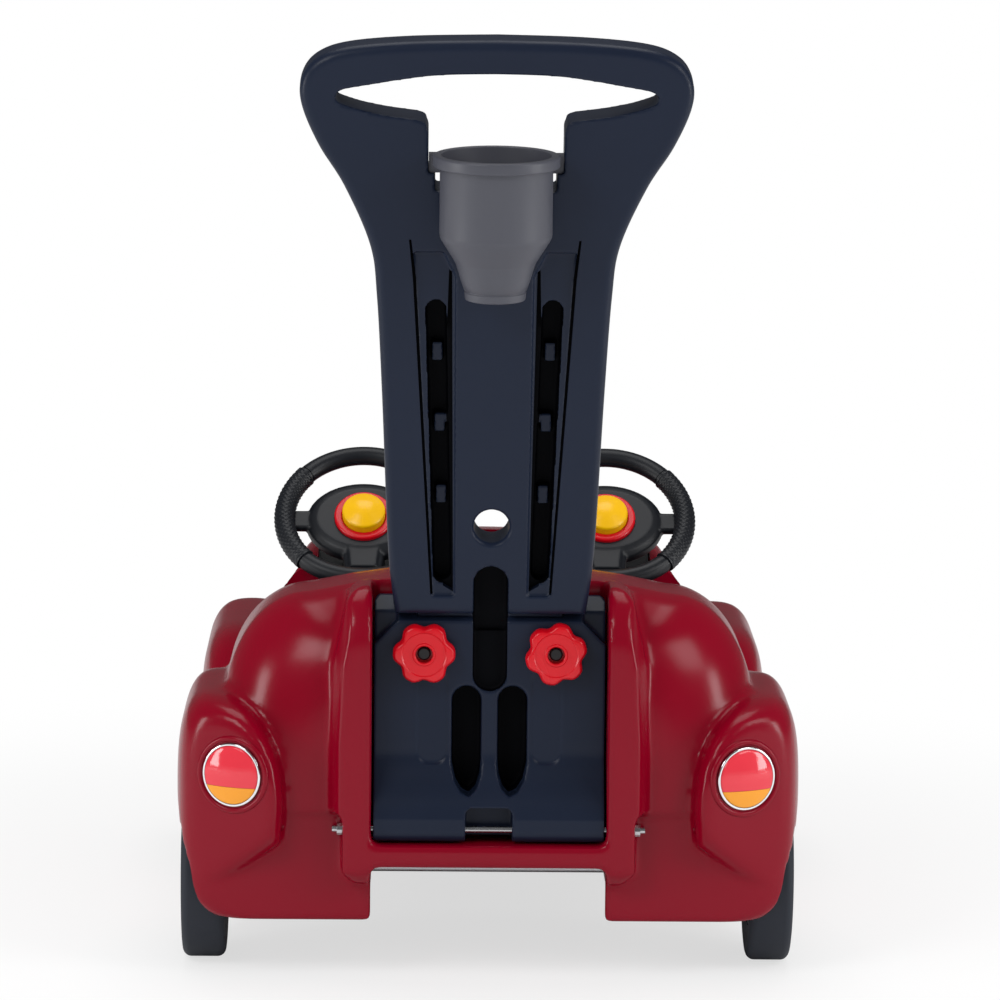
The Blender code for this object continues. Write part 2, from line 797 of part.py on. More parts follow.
def lamp_frame(side, face, turn, facing):
    """Local z points out of the lamp, from the bottom of its recess in the pod's face."""
    along = Vector((side * math.sin(turn), facing * math.cos(turn), 0.0))
    across = (math.cos(turn), -facing * side * math.sin(turn), 0.0)
    start = Vector((side * face[0], face[1], face[2])) - along * LIGHT_RECESS
    return frame_at(start, across, along)


def tail_lamp_frame(side):
    return lamp_frame(side, (TAIL_LIGHT_X, REAR_FENDER_BACK, TAIL_LIGHT_Z), TAIL_LIGHT_TURN, -1.0)


def head_lamp_frame(side):
    return lamp_frame(side, (HEAD_LIGHT_X, FRONT_FENDER_FRONT, HEAD_LIGHT_Z), HEAD_LIGHT_TURN, 1.0)


def lamp_disc(name, frame, radius, low, high):
    return turned(name, [(0.0, low), (radius, low), (radius, high), (0.0, high)], frame, ROUND_FINE)


def body_shell():
    shell = tub_solid("body_shell", 0.0)
    weld(shell, lower_solid("lower_guide", 0.0))
    for word, side in SIDES:
        weld(shell, rear_fender("rear_fender_guide_" + word, side, 0.0))
        weld(shell, front_fender("front_fender_guide_" + word, side, 0.0))
    cut(shell, tub_solid("tub_hollow", SHELL_WALL))
    cut(shell, lower_solid("lower_hollow", SHELL_WALL))
    for word, side in SIDES:
        cut(shell, rear_fender("rear_hollow_" + word, side, SHELL_WALL))
        cut(shell, front_fender("front_hollow_" + word, side, SHELL_WALL))
    lamps = (("tail", tail_lamp_frame, TAIL_LIGHT_RADIUS), ("head", head_lamp_frame, HEAD_LIGHT_RADIUS))
    for word, side in SIDES:
        for kind, frame, radius in lamps:
            backing = lamp_disc(kind + "_backing_" + word, frame(side), radius + LAMP_RIM, -SHELL_WALL, LIGHT_RECESS - 0.001)
            weld(shell, backing)
    weld(shell, channel_solid())
    half = channel_half()
    cut(shell, block("channel_cut", (-half, half), (-0.450, CHANNEL_FRONT_Y), (channel_floor(), 0.450)))
    cut(shell, block("under_cut", (-half, half), (-0.450, -0.200), (-0.020, BAR_BOTTOM)))
    for word, side in SIDES:
        x_range = sorted((side * (DASH_HALF - 0.010), side * DOOR_HALF))
        cowl = block("cowl_" + word, x_range, (OPENING_FRONT_Y - 0.004, OPENING_FRONT_Y + 0.006), (0.200, HOOD_TOP))
        weld(shell, combine(cowl, "INTERSECT", tub_solid("cowl_guide_" + word, SHELL_WALL / 2.0)))
    cut(shell, prism("cockpit_cut", opening_outline(), 0.120, 0.450, "Z"))
    grille_cut = rounded_rectangle((-GRILLE_HALF, GRILLE_BOTTOM), (GRILLE_HALF, GRILLE_TOP), 0.020)
    cut(shell, prism("grille_cut", grille_cut, NOSE_Y - 0.020, NOSE_Y + 0.020, "Y"))
    for word, side in SIDES:
        arch = REAR_WHEEL_RADIUS + ARCH_GAP
        start = (side * (REAR_TYRE_OUTER_X - REAR_TYRE_WIDTH - ARCH_GAP), REAR_AXLE_Y, rear_axle_z())
        cut(shell, rod("rear_arch_" + word, start, (side, 0.0, 0.0), 0.100, arch, ROUND_FINE))
        start = (side * (BEAM_HALF + 0.004), CASTER_Y - 0.004, FRONT_ARCH_Z)
        cut(shell, rod("front_arch_" + word, start, (side, 0.0, 0.0), 0.100, FRONT_ARCH_RADIUS, ROUND_FINE))
        for kind, frame, radius in lamps:
            cut(shell, lamp_disc(kind + "_recess_" + word, frame(side), radius + SEAT_GAP, 0.0, 0.030))
        hole_start = (side * KNOB_X, CHANNEL_FRONT_Y - 0.010, KNOB_Z)
        cut(shell, rod("bolt_hole_" + word, hole_start, (0.0, 1.0, 0.0), 0.030, BOLT_RADIUS + SWING_GAP))
    hole = rod("hinge_hole", (-0.200, HINGE_Y, HINGE_Z), (1.0, 0.0, 0.0), 0.400, ROD_RADIUS + SEAT_GAP)
    cut(shell, hole)
    return shell


# Cockpit, seats and dashboard

def cockpit_insert():
    item = prism("cockpit_insert", cockpit_outline(SEAT_GAP), INSERT_FLOOR, INSERT_BACK_TOP, "Z", inside_black())
    half = OPENING_HALF - SEAT_GAP - INSERT_WALL
    back = OPENING_BACK_Y + SEAT_GAP + INSERT_WALL
    front = OPENING_FRONT_Y - SEAT_GAP - INSERT_WALL
    corner = OPENING_CORNER - INSERT_WALL
    footwell = rounded_rectangle((-half, SEAT_STEP_Y), (half, front), corner)
    cut(item, prism("footwell_cut", footwell, INSERT_FLOOR + INSERT_WALL, 0.400, "Z"))
    seat_room = rounded_rectangle((-half, back), (half, SEAT_STEP_Y + 0.060), corner)
    cut(item, prism("seat_room_cut", seat_room, SEAT_HEIGHT, 0.400, "Z"))
    under = rounded_rectangle((-half, back), (half, SEAT_STEP_Y - INSERT_WALL), corner)
    cut(item, prism("under_seat_cut", under, INSERT_FLOOR - 0.010, SEAT_HEIGHT - INSERT_WALL, "Z"))
    top_line = [
        (-0.155, INSERT_BACK_TOP + 0.010),
        (-0.140, INSERT_BACK_TOP - 0.015),
        (-0.095, INSERT_SIDE_TOP),
        (0.300, INSERT_SIDE_TOP),
        (0.300, 0.450),
        (-0.155, 0.450),
    ]
    cut(item, prism("insert_top_cut", top_line, -0.300, 0.300, "X"))
    return item


def seat(word, side):
    """A moulded seat pad with a raised rim, lying on the step of the cockpit insert."""
    low_x = 0.012
    high_x = OPENING_HALF - INSERT_WALL - 0.006
    low_y = OPENING_BACK_Y + INSERT_WALL + 0.003
    high_y = SEAT_STEP_Y - 0.006
    outline = rounded_rectangle((low_x, low_y), (high_x, high_y), 0.030)
    outline = [(side * x, y) for x, y in outline]
    base = SEAT_HEIGHT + SEAT_GAP
    layers = [(base, 0.0), (base + SEAT_THICKNESS - 0.004, 0.0), (base + SEAT_THICKNESS, 0.004)]
    pad = rounded_plate("seat_" + word, outline, [], layers, lambda x, y, d: (x, y, d), wheel_black(), False)
    dish = [(side * x, y) for x, y in rounded_rectangle((low_x + 0.022, low_y + 0.018), (high_x - 0.022, high_y + 0.1), 0.02)]
    cut(pad, prism("seat_dish_" + word, dish, base + SEAT_THICKNESS - 0.004, 0.300, "Z"))
    return pad


def steer_frame(side):
    """Local z points at the driver along the column, with the wheel's middle at zero."""
    along = (0.0, -math.cos(STEER_TILT), math.sin(STEER_TILT))
    return frame_at((side * STEER_X, STEER_Y, STEER_Z), (1.0, 0.0, 0.0), along)


def column_length():
    """From the wheel's middle down to the dashboard's sloping face."""
    rise = DASH_TOP - STEER_Z
    run = DASH_FRONT_Y - STEER_Y
    return -(rise * math.sin(STEER_TILT) - run * math.cos(STEER_TILT))


def dashboard():
    slope = 1.0 / math.tan(STEER_TILT)
    back = OPENING_FRONT_Y
    front = DASH_FRONT_Y - SEAT_GAP
    low = DASH_TOP - (DASH_FRONT_Y - back) * slope
    profile = [
        (back, DASH_BOTTOM),
        (back, low),
        (front, DASH_TOP - SEAT_GAP * slope),
        (front, DASH_TOP - DASH_DEPTH),
        (back + 0.030, DASH_BOTTOM),
    ]
    half = DASH_HALF - SEAT_GAP
    item = prism("dashboard", profile, -half, half, "X", inside_black())
    for word, side in SIDES:
        place = steer_frame(side)
        depth = column_length()
        collar = [(0.0, -depth - 0.010), (0.024, -depth - 0.010), (0.021, -depth + 0.010), (0.0, -depth + 0.010)]
        weld(item, turned("dash_collar_" + word, collar, place))
        bore = COLUMN_RADIUS + RUNNING_GAP
        hole = [(0.0, -depth - COLUMN_IN_DASH - SEAT_GAP), (bore, -depth - COLUMN_IN_DASH - SEAT_GAP), (bore, 0.0), (0.0, 0.0)]
        cut(item, turned("dash_bore_" + word, hole, place, ROUND_SPIN))
    return item


# Steering wheels

def steering_wheel(word, side):
    place = steer_frame(side)
    bm = bmesh.new()
    rows = []
    major = STEER_RADIUS - STEER_GRIP_TUBE
    for step in range(STEER_STEPS):
        angle = 2.0 * math.pi * step / STEER_STEPS
        sideways = abs(math.cos(angle))
        tube = STEER_GRIP_TUBE if sideways > 0.72 else STEER_TUBE
        radius = major - STEER_FLAT * max(0.0, -math.sin(angle)) ** 4
        ring = []
        for part in range(TUBE_SIDES):
            turn = 2.0 * math.pi * part / TUBE_SIDES
            reach = radius + tube * math.cos(turn)
            ring.append(bm.verts.new(place(reach * math.cos(angle), reach * math.sin(angle), tube * math.sin(turn))))
        rows.append(ring)
    for near, far in zip(rows, rows[1:] + rows[:1]):
        for part in range(TUBE_SIDES):
            after = (part + 1) % TUBE_SIDES
            bm.faces.new((near[part], near[after], far[after], far[part]))
    item = make_object("steering_wheel_" + word, bm, wheel_black(), True)
    oval = []
    for step in range(ROUND):
        angle = 2.0 * math.pi * step / ROUND
        oval.append((HUB_HALF_WIDE * math.cos(angle), HUB_HALF_TALL * math.sin(angle)))
    top = HUB_HEIGHT - HUB_DEPTH
    layers = [(-HUB_DEPTH, 0.010), (-HUB_DEPTH + 0.006, 0.0), (top - 0.006, 0.001), (top, 0.010)]
    hub = rounded_plate("hub_guide_" + word, oval, [], layers, place, None)
    inner = STEER_RADIUS - 2.0 * STEER_GRIP_TUBE
    spoke = SPOKE_WIDTH / 2.0
    reach = inner + SPOKE_BITE
    bar = [(-reach, -spoke), (reach, -spoke), (reach, spoke), (-reach, spoke)]
    low = -SPOKE_THICKNESS / 2.0 - SPOKE_DROP
    high = low + SPOKE_THICKNESS
    layers = [(low, 0.0), (high - 0.002, 0.0), (high, 0.002)]
    cross = rounded_plate("spoke_guide_" + word, bar, [], layers, place, None, False)
    foot = [(-0.018, -inner - 0.003), (0.018, -inner - 0.003), (0.022, -0.020), (-0.022, -0.020)]
    lower = rounded_plate("foot_guide_" + word, foot, [], layers, place, None, False)
    weld(item, hub, cross, lower)
    ring_room = HORN_RING_RADIUS + SEAT_GAP
    recess = [(0.0, top - 0.003), (ring_room, top - 0.003), (ring_room, 0.100), (0.0, 0.100)]
    cut(item, turned("ring_recess_" + word, recess, place, ROUND_FINE))
    well = [(0.0, top - HORN_WELL_DEPTH), (HORN_WELL_RADIUS, top - HORN_WELL_DEPTH), (HORN_WELL_RADIUS, 0.100), (0.0, 0.100)]
    cut(item, turned("horn_well_" + word, well, place))
    return item


def hub_seat_level():
    return HUB_HEIGHT - HUB_DEPTH - 0.003


def horn_ring(word, side):
    base = hub_seat_level() + SEAT_GAP
    inner = HORN_RADIUS + SEAT_GAP
    outer = HORN_RING_RADIUS
    profile = [
        (inner, base),
        (outer, base),
        (outer, base + HORN_RING_HEIGHT - 0.003),
        (outer - 0.003, base + HORN_RING_HEIGHT),
        (inner, base + HORN_RING_HEIGHT),
    ]
    return turned("horn_ring_" + word, profile, steer_frame(side), ROUND_FINE, knob_red())


def horn_button(word, side):
    """A domed cap that slides in the ring, with a spigot down into the hub's well."""
    base = hub_seat_level() + HORN_TRAVEL + 2.0 * SEAT_GAP
    profile = [(0.0, base - 0.002), (SPRING_RADIUS + 0.004, base - 0.002), (SPRING_RADIUS + 0.004, base)]
    profile.append((HORN_RADIUS, base))
    profile.append((HORN_RADIUS, base + HORN_HEIGHT - 0.008))
    for degrees in (40, 75):
        angle = math.radians(degrees)
        profile.append((HORN_RADIUS * (0.35 + 0.65 * math.cos(angle)), base + HORN_HEIGHT - 0.008 + 0.007 * math.sin(angle)))
    profile.append((0.0, base + HORN_HEIGHT))
    return turned("horn_button_" + word, profile, steer_frame(side), ROUND, horn_yellow())


def horn_spring(word, side):
    """One wire wound as a helix between the bottom of the well and the button."""
    place = steer_frame(side)
    low = HUB_HEIGHT - HUB_DEPTH - HORN_WELL_DEPTH + SPRING_WIRE + SEAT_GAP
    high = hub_seat_level() + HORN_TRAVEL + 2.0 * SEAT_GAP - 0.002 - SPRING_WIRE - SEAT_GAP
    points_a_curl = CURL_STEPS
    count = SPRING_CURLS * points_a_curl
    points = []
    for step in range(count + 1):
        angle = 2.0 * math.pi * step / points_a_curl
        height = low + (high - low) * step / count
        points.append(place(SPRING_RADIUS * math.cos(angle), SPRING_RADIUS * math.sin(angle), height))
    gap = min((points[a] - points[b]).length for a in range(count + 1) for b in range(a + points_a_curl - 2, count + 1))
    print("horn_spring_" + word, "least gap to itself", round((gap - 2.0 * SPRING_WIRE) * 1000.0, 2), "mm")
    curve = bpy.data.curves.new("horn_spring_" + word, "CURVE")
    curve.dimensions = "3D"
    curve.bevel_depth = SPRING_WIRE
    curve.bevel_resolution = 1
    curve.use_fill_caps = True
    spline = curve.splines.new("POLY")
    spline.points.add(count)
    for point, place_now in zip(spline.points, points):
        point.co = (*place_now, 1.0)
    item = bpy.data.objects.new("horn_spring_" + word, curve)
    bpy.context.collection.objects.link(item)
    curve.materials.append(steel())
    return item


def steering_column(word, side):
    depth = column_length() + COLUMN_IN_DASH
    top = -HUB_DEPTH - SEAT_GAP
    profile = [(0.0, -depth), (COLUMN_RADIUS, -depth), (COLUMN_RADIUS, top - 0.016), (0.017, top - 0.008), (0.017, top), (0.0, top)]
    return turned("steering_column_" + word, profile, steer_frame(side), ROUND_SPIN, wheel_black())


# Lights and grille

def light_bezel(name, place, outer, inner):
    high = LIGHT_RECESS + LIGHT_STAND
    profile = [
        (inner + SEAT_GAP, SEAT_GAP),
        (outer, SEAT_GAP),
        (outer, high - 0.0015),
        (inner + SEAT_GAP, high),
    ]
    return turned(name, profile, place, ROUND_FINE, chrome())


def lens_piece(name, place, radius, low, high, material):
    """A disc between two chords, with a rounded front edge."""
    start = math.asin(max(-1.0, low / radius))
    end = math.asin(min(1.0, high / radius))
    outline = []
    for step in range(8):
        angle = start + (end - start) * step / 7
        outline.append((radius * math.cos(angle), radius * math.sin(angle)))
    if high >= radius or low <= -radius:
        outline = mirrored_loop(outline)
    else:
        outline += [(-a, b) for a, b in reversed(outline)]
    front = LIGHT_RECESS + LIGHT_STAND
    layers = [(SEAT_GAP, 0.0), (front - 0.001, 0.0), (front + LENS_EDGE, LENS_EDGE)]
    return rounded_plate(name, outline, [], layers, place, material)


def tail_lights(word, side):
    place = tail_lamp_frame(side)
    radius = TAIL_LENS_RADIUS
    half_gap = SEAT_GAP / 2.0
    light_bezel("tail_light_bezel_" + word, place, TAIL_LIGHT_RADIUS, radius)
    lens_piece("tail_lens_red_" + word, place, radius, TAIL_SPLIT + half_gap, radius, lens_red())
    lens_piece("tail_lens_amber_" + word, place, radius, -radius, TAIL_SPLIT - half_gap, lens_amber())


def head_lights(word, side):
    place = head_lamp_frame(side)
    light_bezel("head_light_bezel_" + word, place, HEAD_LIGHT_RADIUS, HEAD_LENS_RADIUS)
    edge = 0.008
    profile = [(0.0, SEAT_GAP), (HEAD_LENS_RADIUS, SEAT_GAP), (HEAD_LENS_RADIUS, edge)]
    for degrees in (25, 50, 75):
        angle = math.radians(degrees)
        profile.append((HEAD_LENS_RADIUS * math.cos(angle), edge + HEAD_LENS_DOME * math.sin(angle)))
    profile.append((0.0, edge + HEAD_LENS_DOME))
    turned("head_lens_" + word, profile, place, ROUND, lens_clear())


def grille():
    gap = SEAT_GAP
    low = (-GRILLE_HALF + gap, GRILLE_BOTTOM + gap)
    high = (GRILLE_HALF - gap, GRILLE_TOP - gap)
    outer = rounded_rectangle(low, high, 0.020 - gap)
    holes = []
    frame = 0.008
    pitch = (high[0] - low[0] - 2.0 * frame + GRILLE_BAR) / (GRILLE_BARS + 1)
    for index in range(GRILLE_BARS + 1):
        left = low[0] + frame + index * pitch
        right = left + pitch - GRILLE_BAR
        short = 0.010 if index in (0, GRILLE_BARS) else 0.0
        holes.append(rounded_rectangle((left, low[1] + frame + short), (right, high[1] - frame - short), 0.003, 1))
    layers = [(0.0, 0.0), (GRILLE_THICKNESS - 0.002, 0.0), (GRILLE_THICKNESS, 0.0015)]
    back = NOSE_Y - SHELL_WALL
    return rounded_plate("grille", outer, holes, layers, lambda x, z, d: (x, back + d, z), chrome(), False)


# Rear wheels

def rear_axle_z():
    return REAR_WHEEL_RADIUS - FLOOR_DROP


def rear_frame(side):
    """Local z points outward along the axle, from the tyre's inner side."""
    inner = REAR_TYRE_OUTER_X - REAR_TYRE_WIDTH
    return frame_at((side * inner, REAR_AXLE_Y, rear_axle_z()), (0.0, 1.0, 0.0), (side, 0.0, 0.0))


def tyre_profile(radius, inner, width, edge):
    return [
        (inner, 0.002),
        (radius - edge, 0.0),
        (radius - edge * 0.3, edge * 0.3),
        (radius, edge),
        (radius, width - edge),
        (radius - edge * 0.3, width - edge * 0.3),
        (radius - edge, width),
        (inner, width - 0.002),
    ]


def rear_wheel(word, side):
    place = rear_frame(side)
    width = REAR_TYRE_WIDTH
    tyre = tyre_profile(REAR_WHEEL_RADIUS, REAR_HUB_RADIUS, width, 0.008)
    turned("rear_tyre_" + word, tyre, place, ROUND_SPIN, tyre_slate())
    rim = REAR_HUB_RADIUS - SEAT_GAP
    bore = REAR_AXLE_RADIUS + RUNNING_GAP
    hub = [
        (bore, 0.0),
        (0.014, 0.0),
        (0.018, 0.012),
        (rim - 0.006, 0.012),
        (rim, 0.003),
        (rim, width - 0.003),
        (rim - 0.008, width - 0.012),
        (0.031, width - 0.009),
        (bore, width - 0.009),
    ]
    turned("rear_hub_" + word, hub, place, ROUND_SPIN, hub_grey())
    cap_base = width - 0.009 + SEAT_GAP
    room = REAR_AXLE_RADIUS + 0.002
    cap = [
        (room, cap_base),
        (0.028, cap_base),
        (0.026, cap_base + 0.006),
        (0.014, cap_base + 0.0095),
        (0.0, cap_base + 0.0105),
        (0.0, cap_base + 0.0075),
        (room, cap_base + 0.0075),
    ]
    turned("hub_cap_" + word, cap, place, ROUND, hub_grey())


def rear_axle():
    reach = REAR_TYRE_OUTER_X - 0.006
    return rod("rear_axle", (-reach, REAR_AXLE_Y, rear_axle_z()), (1.0, 0.0, 0.0), 2.0 * reach,
               REAR_AXLE_RADIUS, ROUND_SPIN, steel())


def axle_carrier(word, side):
    """A bracket screwed to the back of the cockpit insert. The rear axle goes through it."""
    face = OPENING_BACK_Y
    radius = 0.014
    profile = [(face, CARRIER_TOP), (face, CARRIER_BOTTOM), (REAR_AXLE_Y, rear_axle_z() - radius)]
    for degrees in (-120, -150, -180, -210):
        angle = math.radians(degrees)
        profile.append((REAR_AXLE_Y + radius * math.cos(angle), rear_axle_z() + radius * math.sin(angle)))
    low = side * CARRIER_INNER_X
    high = side * (CARRIER_INNER_X + CARRIER_WIDTH)
    item = prism("axle_carrier_" + word, profile, min(low, high), max(low, high), "X", inside_black())
    hole = rod("carrier_hole_" + word, (-0.3, REAR_AXLE_Y, rear_axle_z()), (1.0, 0.0, 0.0), 0.6,
               REAR_AXLE_RADIUS + SEAT_GAP, ROUND)
    return cut(item, hole)


# Front casters

def front_beam():
    """A cross beam ahead of the footwell, with a boss for each caster stem."""
    outline = rounded_rectangle((-BEAM_HALF, OPENING_FRONT_Y), (BEAM_HALF, BEAM_FRONT_Y), 0.020, 1)
    item = prism("front_beam", outline, BEAM_BOTTOM, BEAM_TOP, "Z", inside_black())
    boss_low = FORK_TOP + SEAT_GAP
    for word, side in SIDES:
        start = (side * CASTER_X, CASTER_Y, boss_low)
        weld(item, rod("boss_" + word, start, (0.0, 0.0, 1.0), BEAM_TOP + 0.012 - boss_low, BOSS_RADIUS, ROUND))
        cut(item, rod("boss_bore_" + word, (side * CASTER_X, CASTER_Y, 0.100), (0.0, 0.0, 1.0), 0.120,
                      STEM_RADIUS + RUNNING_GAP, ROUND_SPIN))
    cut(item, block("beam_window", (-0.150, 0.150), (OPENING_FRONT_Y + 0.030, BEAM_FRONT_Y - 0.030), (0.140, 0.180)))
    return item


def caster_axle_z():
    return CASTER_WHEEL_RADIUS - FLOOR_DROP


def fork_slot_top():
    return caster_axle_z() + CASTER_WHEEL_RADIUS + FORK_WHEEL_GAP


def caster_inner_half():
    return CASTER_TYRE_WIDTH / 2.0 + FORK_SIDE_GAP


def caster_fork(word, side):
    axle = (CASTER_Y - CASTER_TRAIL, caster_axle_z())
    boss = 0.012
    crown = FORK_CROWN_RADIUS
    profile = [(CASTER_Y + crown, FORK_TOP), (CASTER_Y - crown, FORK_TOP), (CASTER_Y - crown - 0.004, FORK_TOP - 0.016)]
    for degrees in (160, 200, 240, 280, 320, 360):
        angle = math.radians(degrees)
        profile.append((axle[0] + boss * math.cos(angle), axle[1] + boss * math.sin(angle)))
    profile.append((CASTER_Y + crown, FORK_TOP - 0.014))
    half = caster_inner_half() + FORK_ARM
    middle = side * CASTER_X
    item = prism("caster_fork_" + word, profile, middle - half, middle + half, "X", inside_black())
    room = caster_inner_half()
    slot_top = fork_slot_top()
    cut(item, block("fork_slot_" + word, (middle - room, middle + room), (0.100, 0.400), (-0.020, slot_top)))
    cut(item, rod("fork_hole_" + word, (middle - 0.05, *axle), (1.0, 0.0, 0.0), 0.10, CASTER_AXLE_RADIUS + SEAT_GAP, ROUND))
    stem_room = rod("stem_room_" + word, (middle, CASTER_Y, slot_top + STEM_SEAT), (0.0, 0.0, 1.0), 0.050,
                    STEM_RADIUS + SEAT_GAP, ROUND)
    return cut(item, stem_room)


def caster_stem(word, side):
    bottom = fork_slot_top() + STEM_SEAT + SEAT_GAP
    return rod("caster_stem_" + word, (side * CASTER_X, CASTER_Y, bottom), (0.0, 0.0, 1.0), STEM_LENGTH + 0.010,
               STEM_RADIUS, ROUND_SPIN, steel())


def caster_axle(word, side):
    half = caster_inner_half() + FORK_ARM + 0.002
    start = (side * CASTER_X - half, CASTER_Y - CASTER_TRAIL, caster_axle_z())
    return rod("caster_axle_" + word, start, (1.0, 0.0, 0.0), 2.0 * half, CASTER_AXLE_RADIUS, ROUND_SPIN, steel())


def caster_wheel(word, side):
    width = CASTER_TYRE_WIDTH
    start = (side * CASTER_X - width / 2.0, CASTER_Y - CASTER_TRAIL, caster_axle_z())
    place = frame_at(start, (0.0, 1.0, 0.0), (1.0, 0.0, 0.0))
    turned("front_tyre_" + word, tyre_profile(CASTER_WHEEL_RADIUS, CASTER_HUB_RADIUS, width, 0.006), place,
           ROUND_SPIN, tyre_slate())
    bore = CASTER_AXLE_RADIUS + RUNNING_GAP
    rim = CASTER_HUB_RADIUS - SEAT_GAP
    hub = [
        (bore, 0.0),
        (0.011, 0.0),
        (rim, 0.004),
        (rim, width - 0.004),
        (0.011, width),
        (bore, width),
    ]
    turned("front_hub_" + word, hub, place, ROUND_SPIN, hub_grey())


# Push handle, base, knobs and cup holder

def on_handle(x, s, depth):
    """A place on the handle: x across, s up along its lean, depth forward from its back face."""
    lean = HANDLE_LEAN
    y = HANDLE_FOOT_Y - s * math.sin(lean) + depth * math.cos(lean)
    z = HANDLE_FOOT_Z + s * math.cos(lean) + depth * math.sin(lean)
    return (x, y, z)


def handle_outline():
    shoulder = [
        (HANDLE_FOOT_HALF, HANDLE_BOTTOM),
        (0.0985, 0.075),
        (0.1051, 0.230),
        (0.1104, 0.329),
        (0.1170, 0.380),
        (0.1409, 0.437),
        (0.1650, 0.477),
        (0.1805, 0.514),
        (0.1815, 0.539),
        (0.1690, 0.559),
        (0.1400, 0.571),
        (0.0800, 0.577),
        (0.0, HANDLE_TOP),
    ]
    return mirrored_loop([(0.0, HANDLE_BOTTOM)] + smooth_through(shoulder, 2))


def grip_opening():
    """The long opening under the grip bar, with a square notch below it for the cup holder."""
    edge = smooth_through([(0.0, 0.548), (0.060, 0.546), (0.112, 0.538), (0.143, 0.532), (0.1495, 0.525),
                           (0.143, 0.518), (0.110, 0.509), (0.074, 0.504)], 2)
    notch = [
        (CUP_STEP_HALF + 0.0030, 0.501),
        (CUP_STEP_HALF, 0.492),
        (CUP_STEP_HALF, CUP_STEP),
        (CUP_NOTCH_HALF, CUP_STEP),
        (CUP_NOTCH_HALF, CUP_NOTCH_BOTTOM),
        (0.0, CUP_NOTCH_BOTTOM),
    ]
    return mirrored_loop(edge + notch)


def slot_outline(top, bottom, top_half, bottom_half, top_x, bottom_x):
    """A long slot with round ends, wider and further out at its top."""
    points = []
    for degrees in range(0, 181, 36):
        angle = math.radians(degrees)
        points.append((top_x + top_half * math.cos(angle), top - top_half + top_half * math.sin(angle)))
    for degrees in range(180, 361, 36):
        angle = math.radians(degrees)
        points.append((bottom_x + bottom_half * math.cos(angle), bottom + bottom_half + bottom_half * math.sin(angle)))
    return points


def handle_cutter(name, outline, depth):
    rings = [[on_handle(x, s, level) for x, s in outline] for level in (-0.010, depth)]
    return loft(name, rings)


def push_handle():
    item = rounded_plate("push_handle", handle_outline(), [grip_opening()], round_edge(HANDLE_DEPTH, HANDLE_EDGE, 2),
                         on_handle, handle_black())
    rings = []
    for s in (HANDLE_BOTTOM + 0.018, HANDLE_BOTTOM - TONGUE_LENGTH):
        high = HANDLE_DEPTH - TONGUE_INSET
        low = high - TONGUE_DEPTH
        corners = ((-TONGUE_HALF, low), (TONGUE_HALF, low), (TONGUE_HALF, high), (-TONGUE_HALF, high))
        rings.append([on_handle(x, s, depth) for x, depth in corners])
    weld(item, loft("tongue", rings))
    for word, side in SIDES:
        groove = [(PANEL_FOOT_HALF, 0.030)] + list(GROOVE_OUTER) + [(0.0480, 0.374), (PANEL_TOP_HALF, 0.352)]
        cut(item, handle_cutter("groove_" + word, [(side * x, s) for x, s in groove], GROOVE_DEPTH))
        slot = slot_outline(*HANDLE_SLOT)
        cut(item, handle_cutter("slot_" + word, [(side * x, s) for x, s in slot], SLOT_DEPTH))
    eye = frame_at(on_handle(0.0, EYE_HEIGHT, -0.010), (1.0, 0.0, 0.0), (0.0, math.cos(HANDLE_LEAN), math.sin(HANDLE_LEAN)))
    profile = [(0.0, 0.0), (EYE_RADIUS + 0.002, 0.0), (EYE_RADIUS + 0.002, 0.011), (EYE_RADIUS, 0.013), (EYE_RADIUS, 0.070), (0.0, 0.070)]
    cut(item, turned("eye_cut", profile, eye))
    centre = slot_outline(0.061, -0.020, 0.0165, 0.0165, 0.0, 0.0)
    cut(item, handle_cutter("centre_slot", centre, 0.020))
    room = cup_outline(CUP_ROOM_GAP)
    room = [(0.0, room[0][1])] + room + [(room[-1][0], 0.010), (0.0, 0.010)]
    return cut(item, turned("cup_room", room, cup_frame(), ROUND_FINE))


def base_profile():
    """Side view of the handle base: a plate that flares back to a barrel round the hinge rod."""
    profile = [(BASE_FRONT_Y, BASE_EAR_TOP), (BASE_FRONT_Y - 0.008, BASE_EAR_TOP), (BASE_BACK_Y, BASE_PLATE_TOP)]
    profile += [(BASE_BACK_Y, BASE_FLARE_TOP), (HINGE_Y - HINGE_BARREL + 0.003, BASE_FLARE_BOTTOM)]
    for degrees in (170, 200, 230, 260, 290, 320):
        angle = math.radians(degrees)
        profile.append((HINGE_Y + HINGE_BARREL * math.cos(angle), HINGE_Z + HINGE_BARREL * math.sin(angle)))
    profile += [(BASE_FRONT_Y - 0.020, 0.150), (BASE_FRONT_Y, 0.170)]
    return profile


def base_slot_outline():
    """A slot with a round top, that narrows below the flare towards the middle."""
    slot = [(0.0190, 0.181), (0.0265, 0.185), (0.0325, 0.195), (BASE_SLOT_X + BASE_SLOT_HALF, 0.212)]
    for degrees in range(0, 181, 30):
        angle = math.radians(degrees)
        slot.append((BASE_SLOT_X + BASE_SLOT_HALF * math.cos(angle), BASE_SLOT_TOP + BASE_SLOT_HALF * math.sin(angle)))
    return slot + [(BASE_SLOT_X - BASE_SLOT_HALF, 0.212), (0.0092, 0.200), (0.0130, 0.188)]


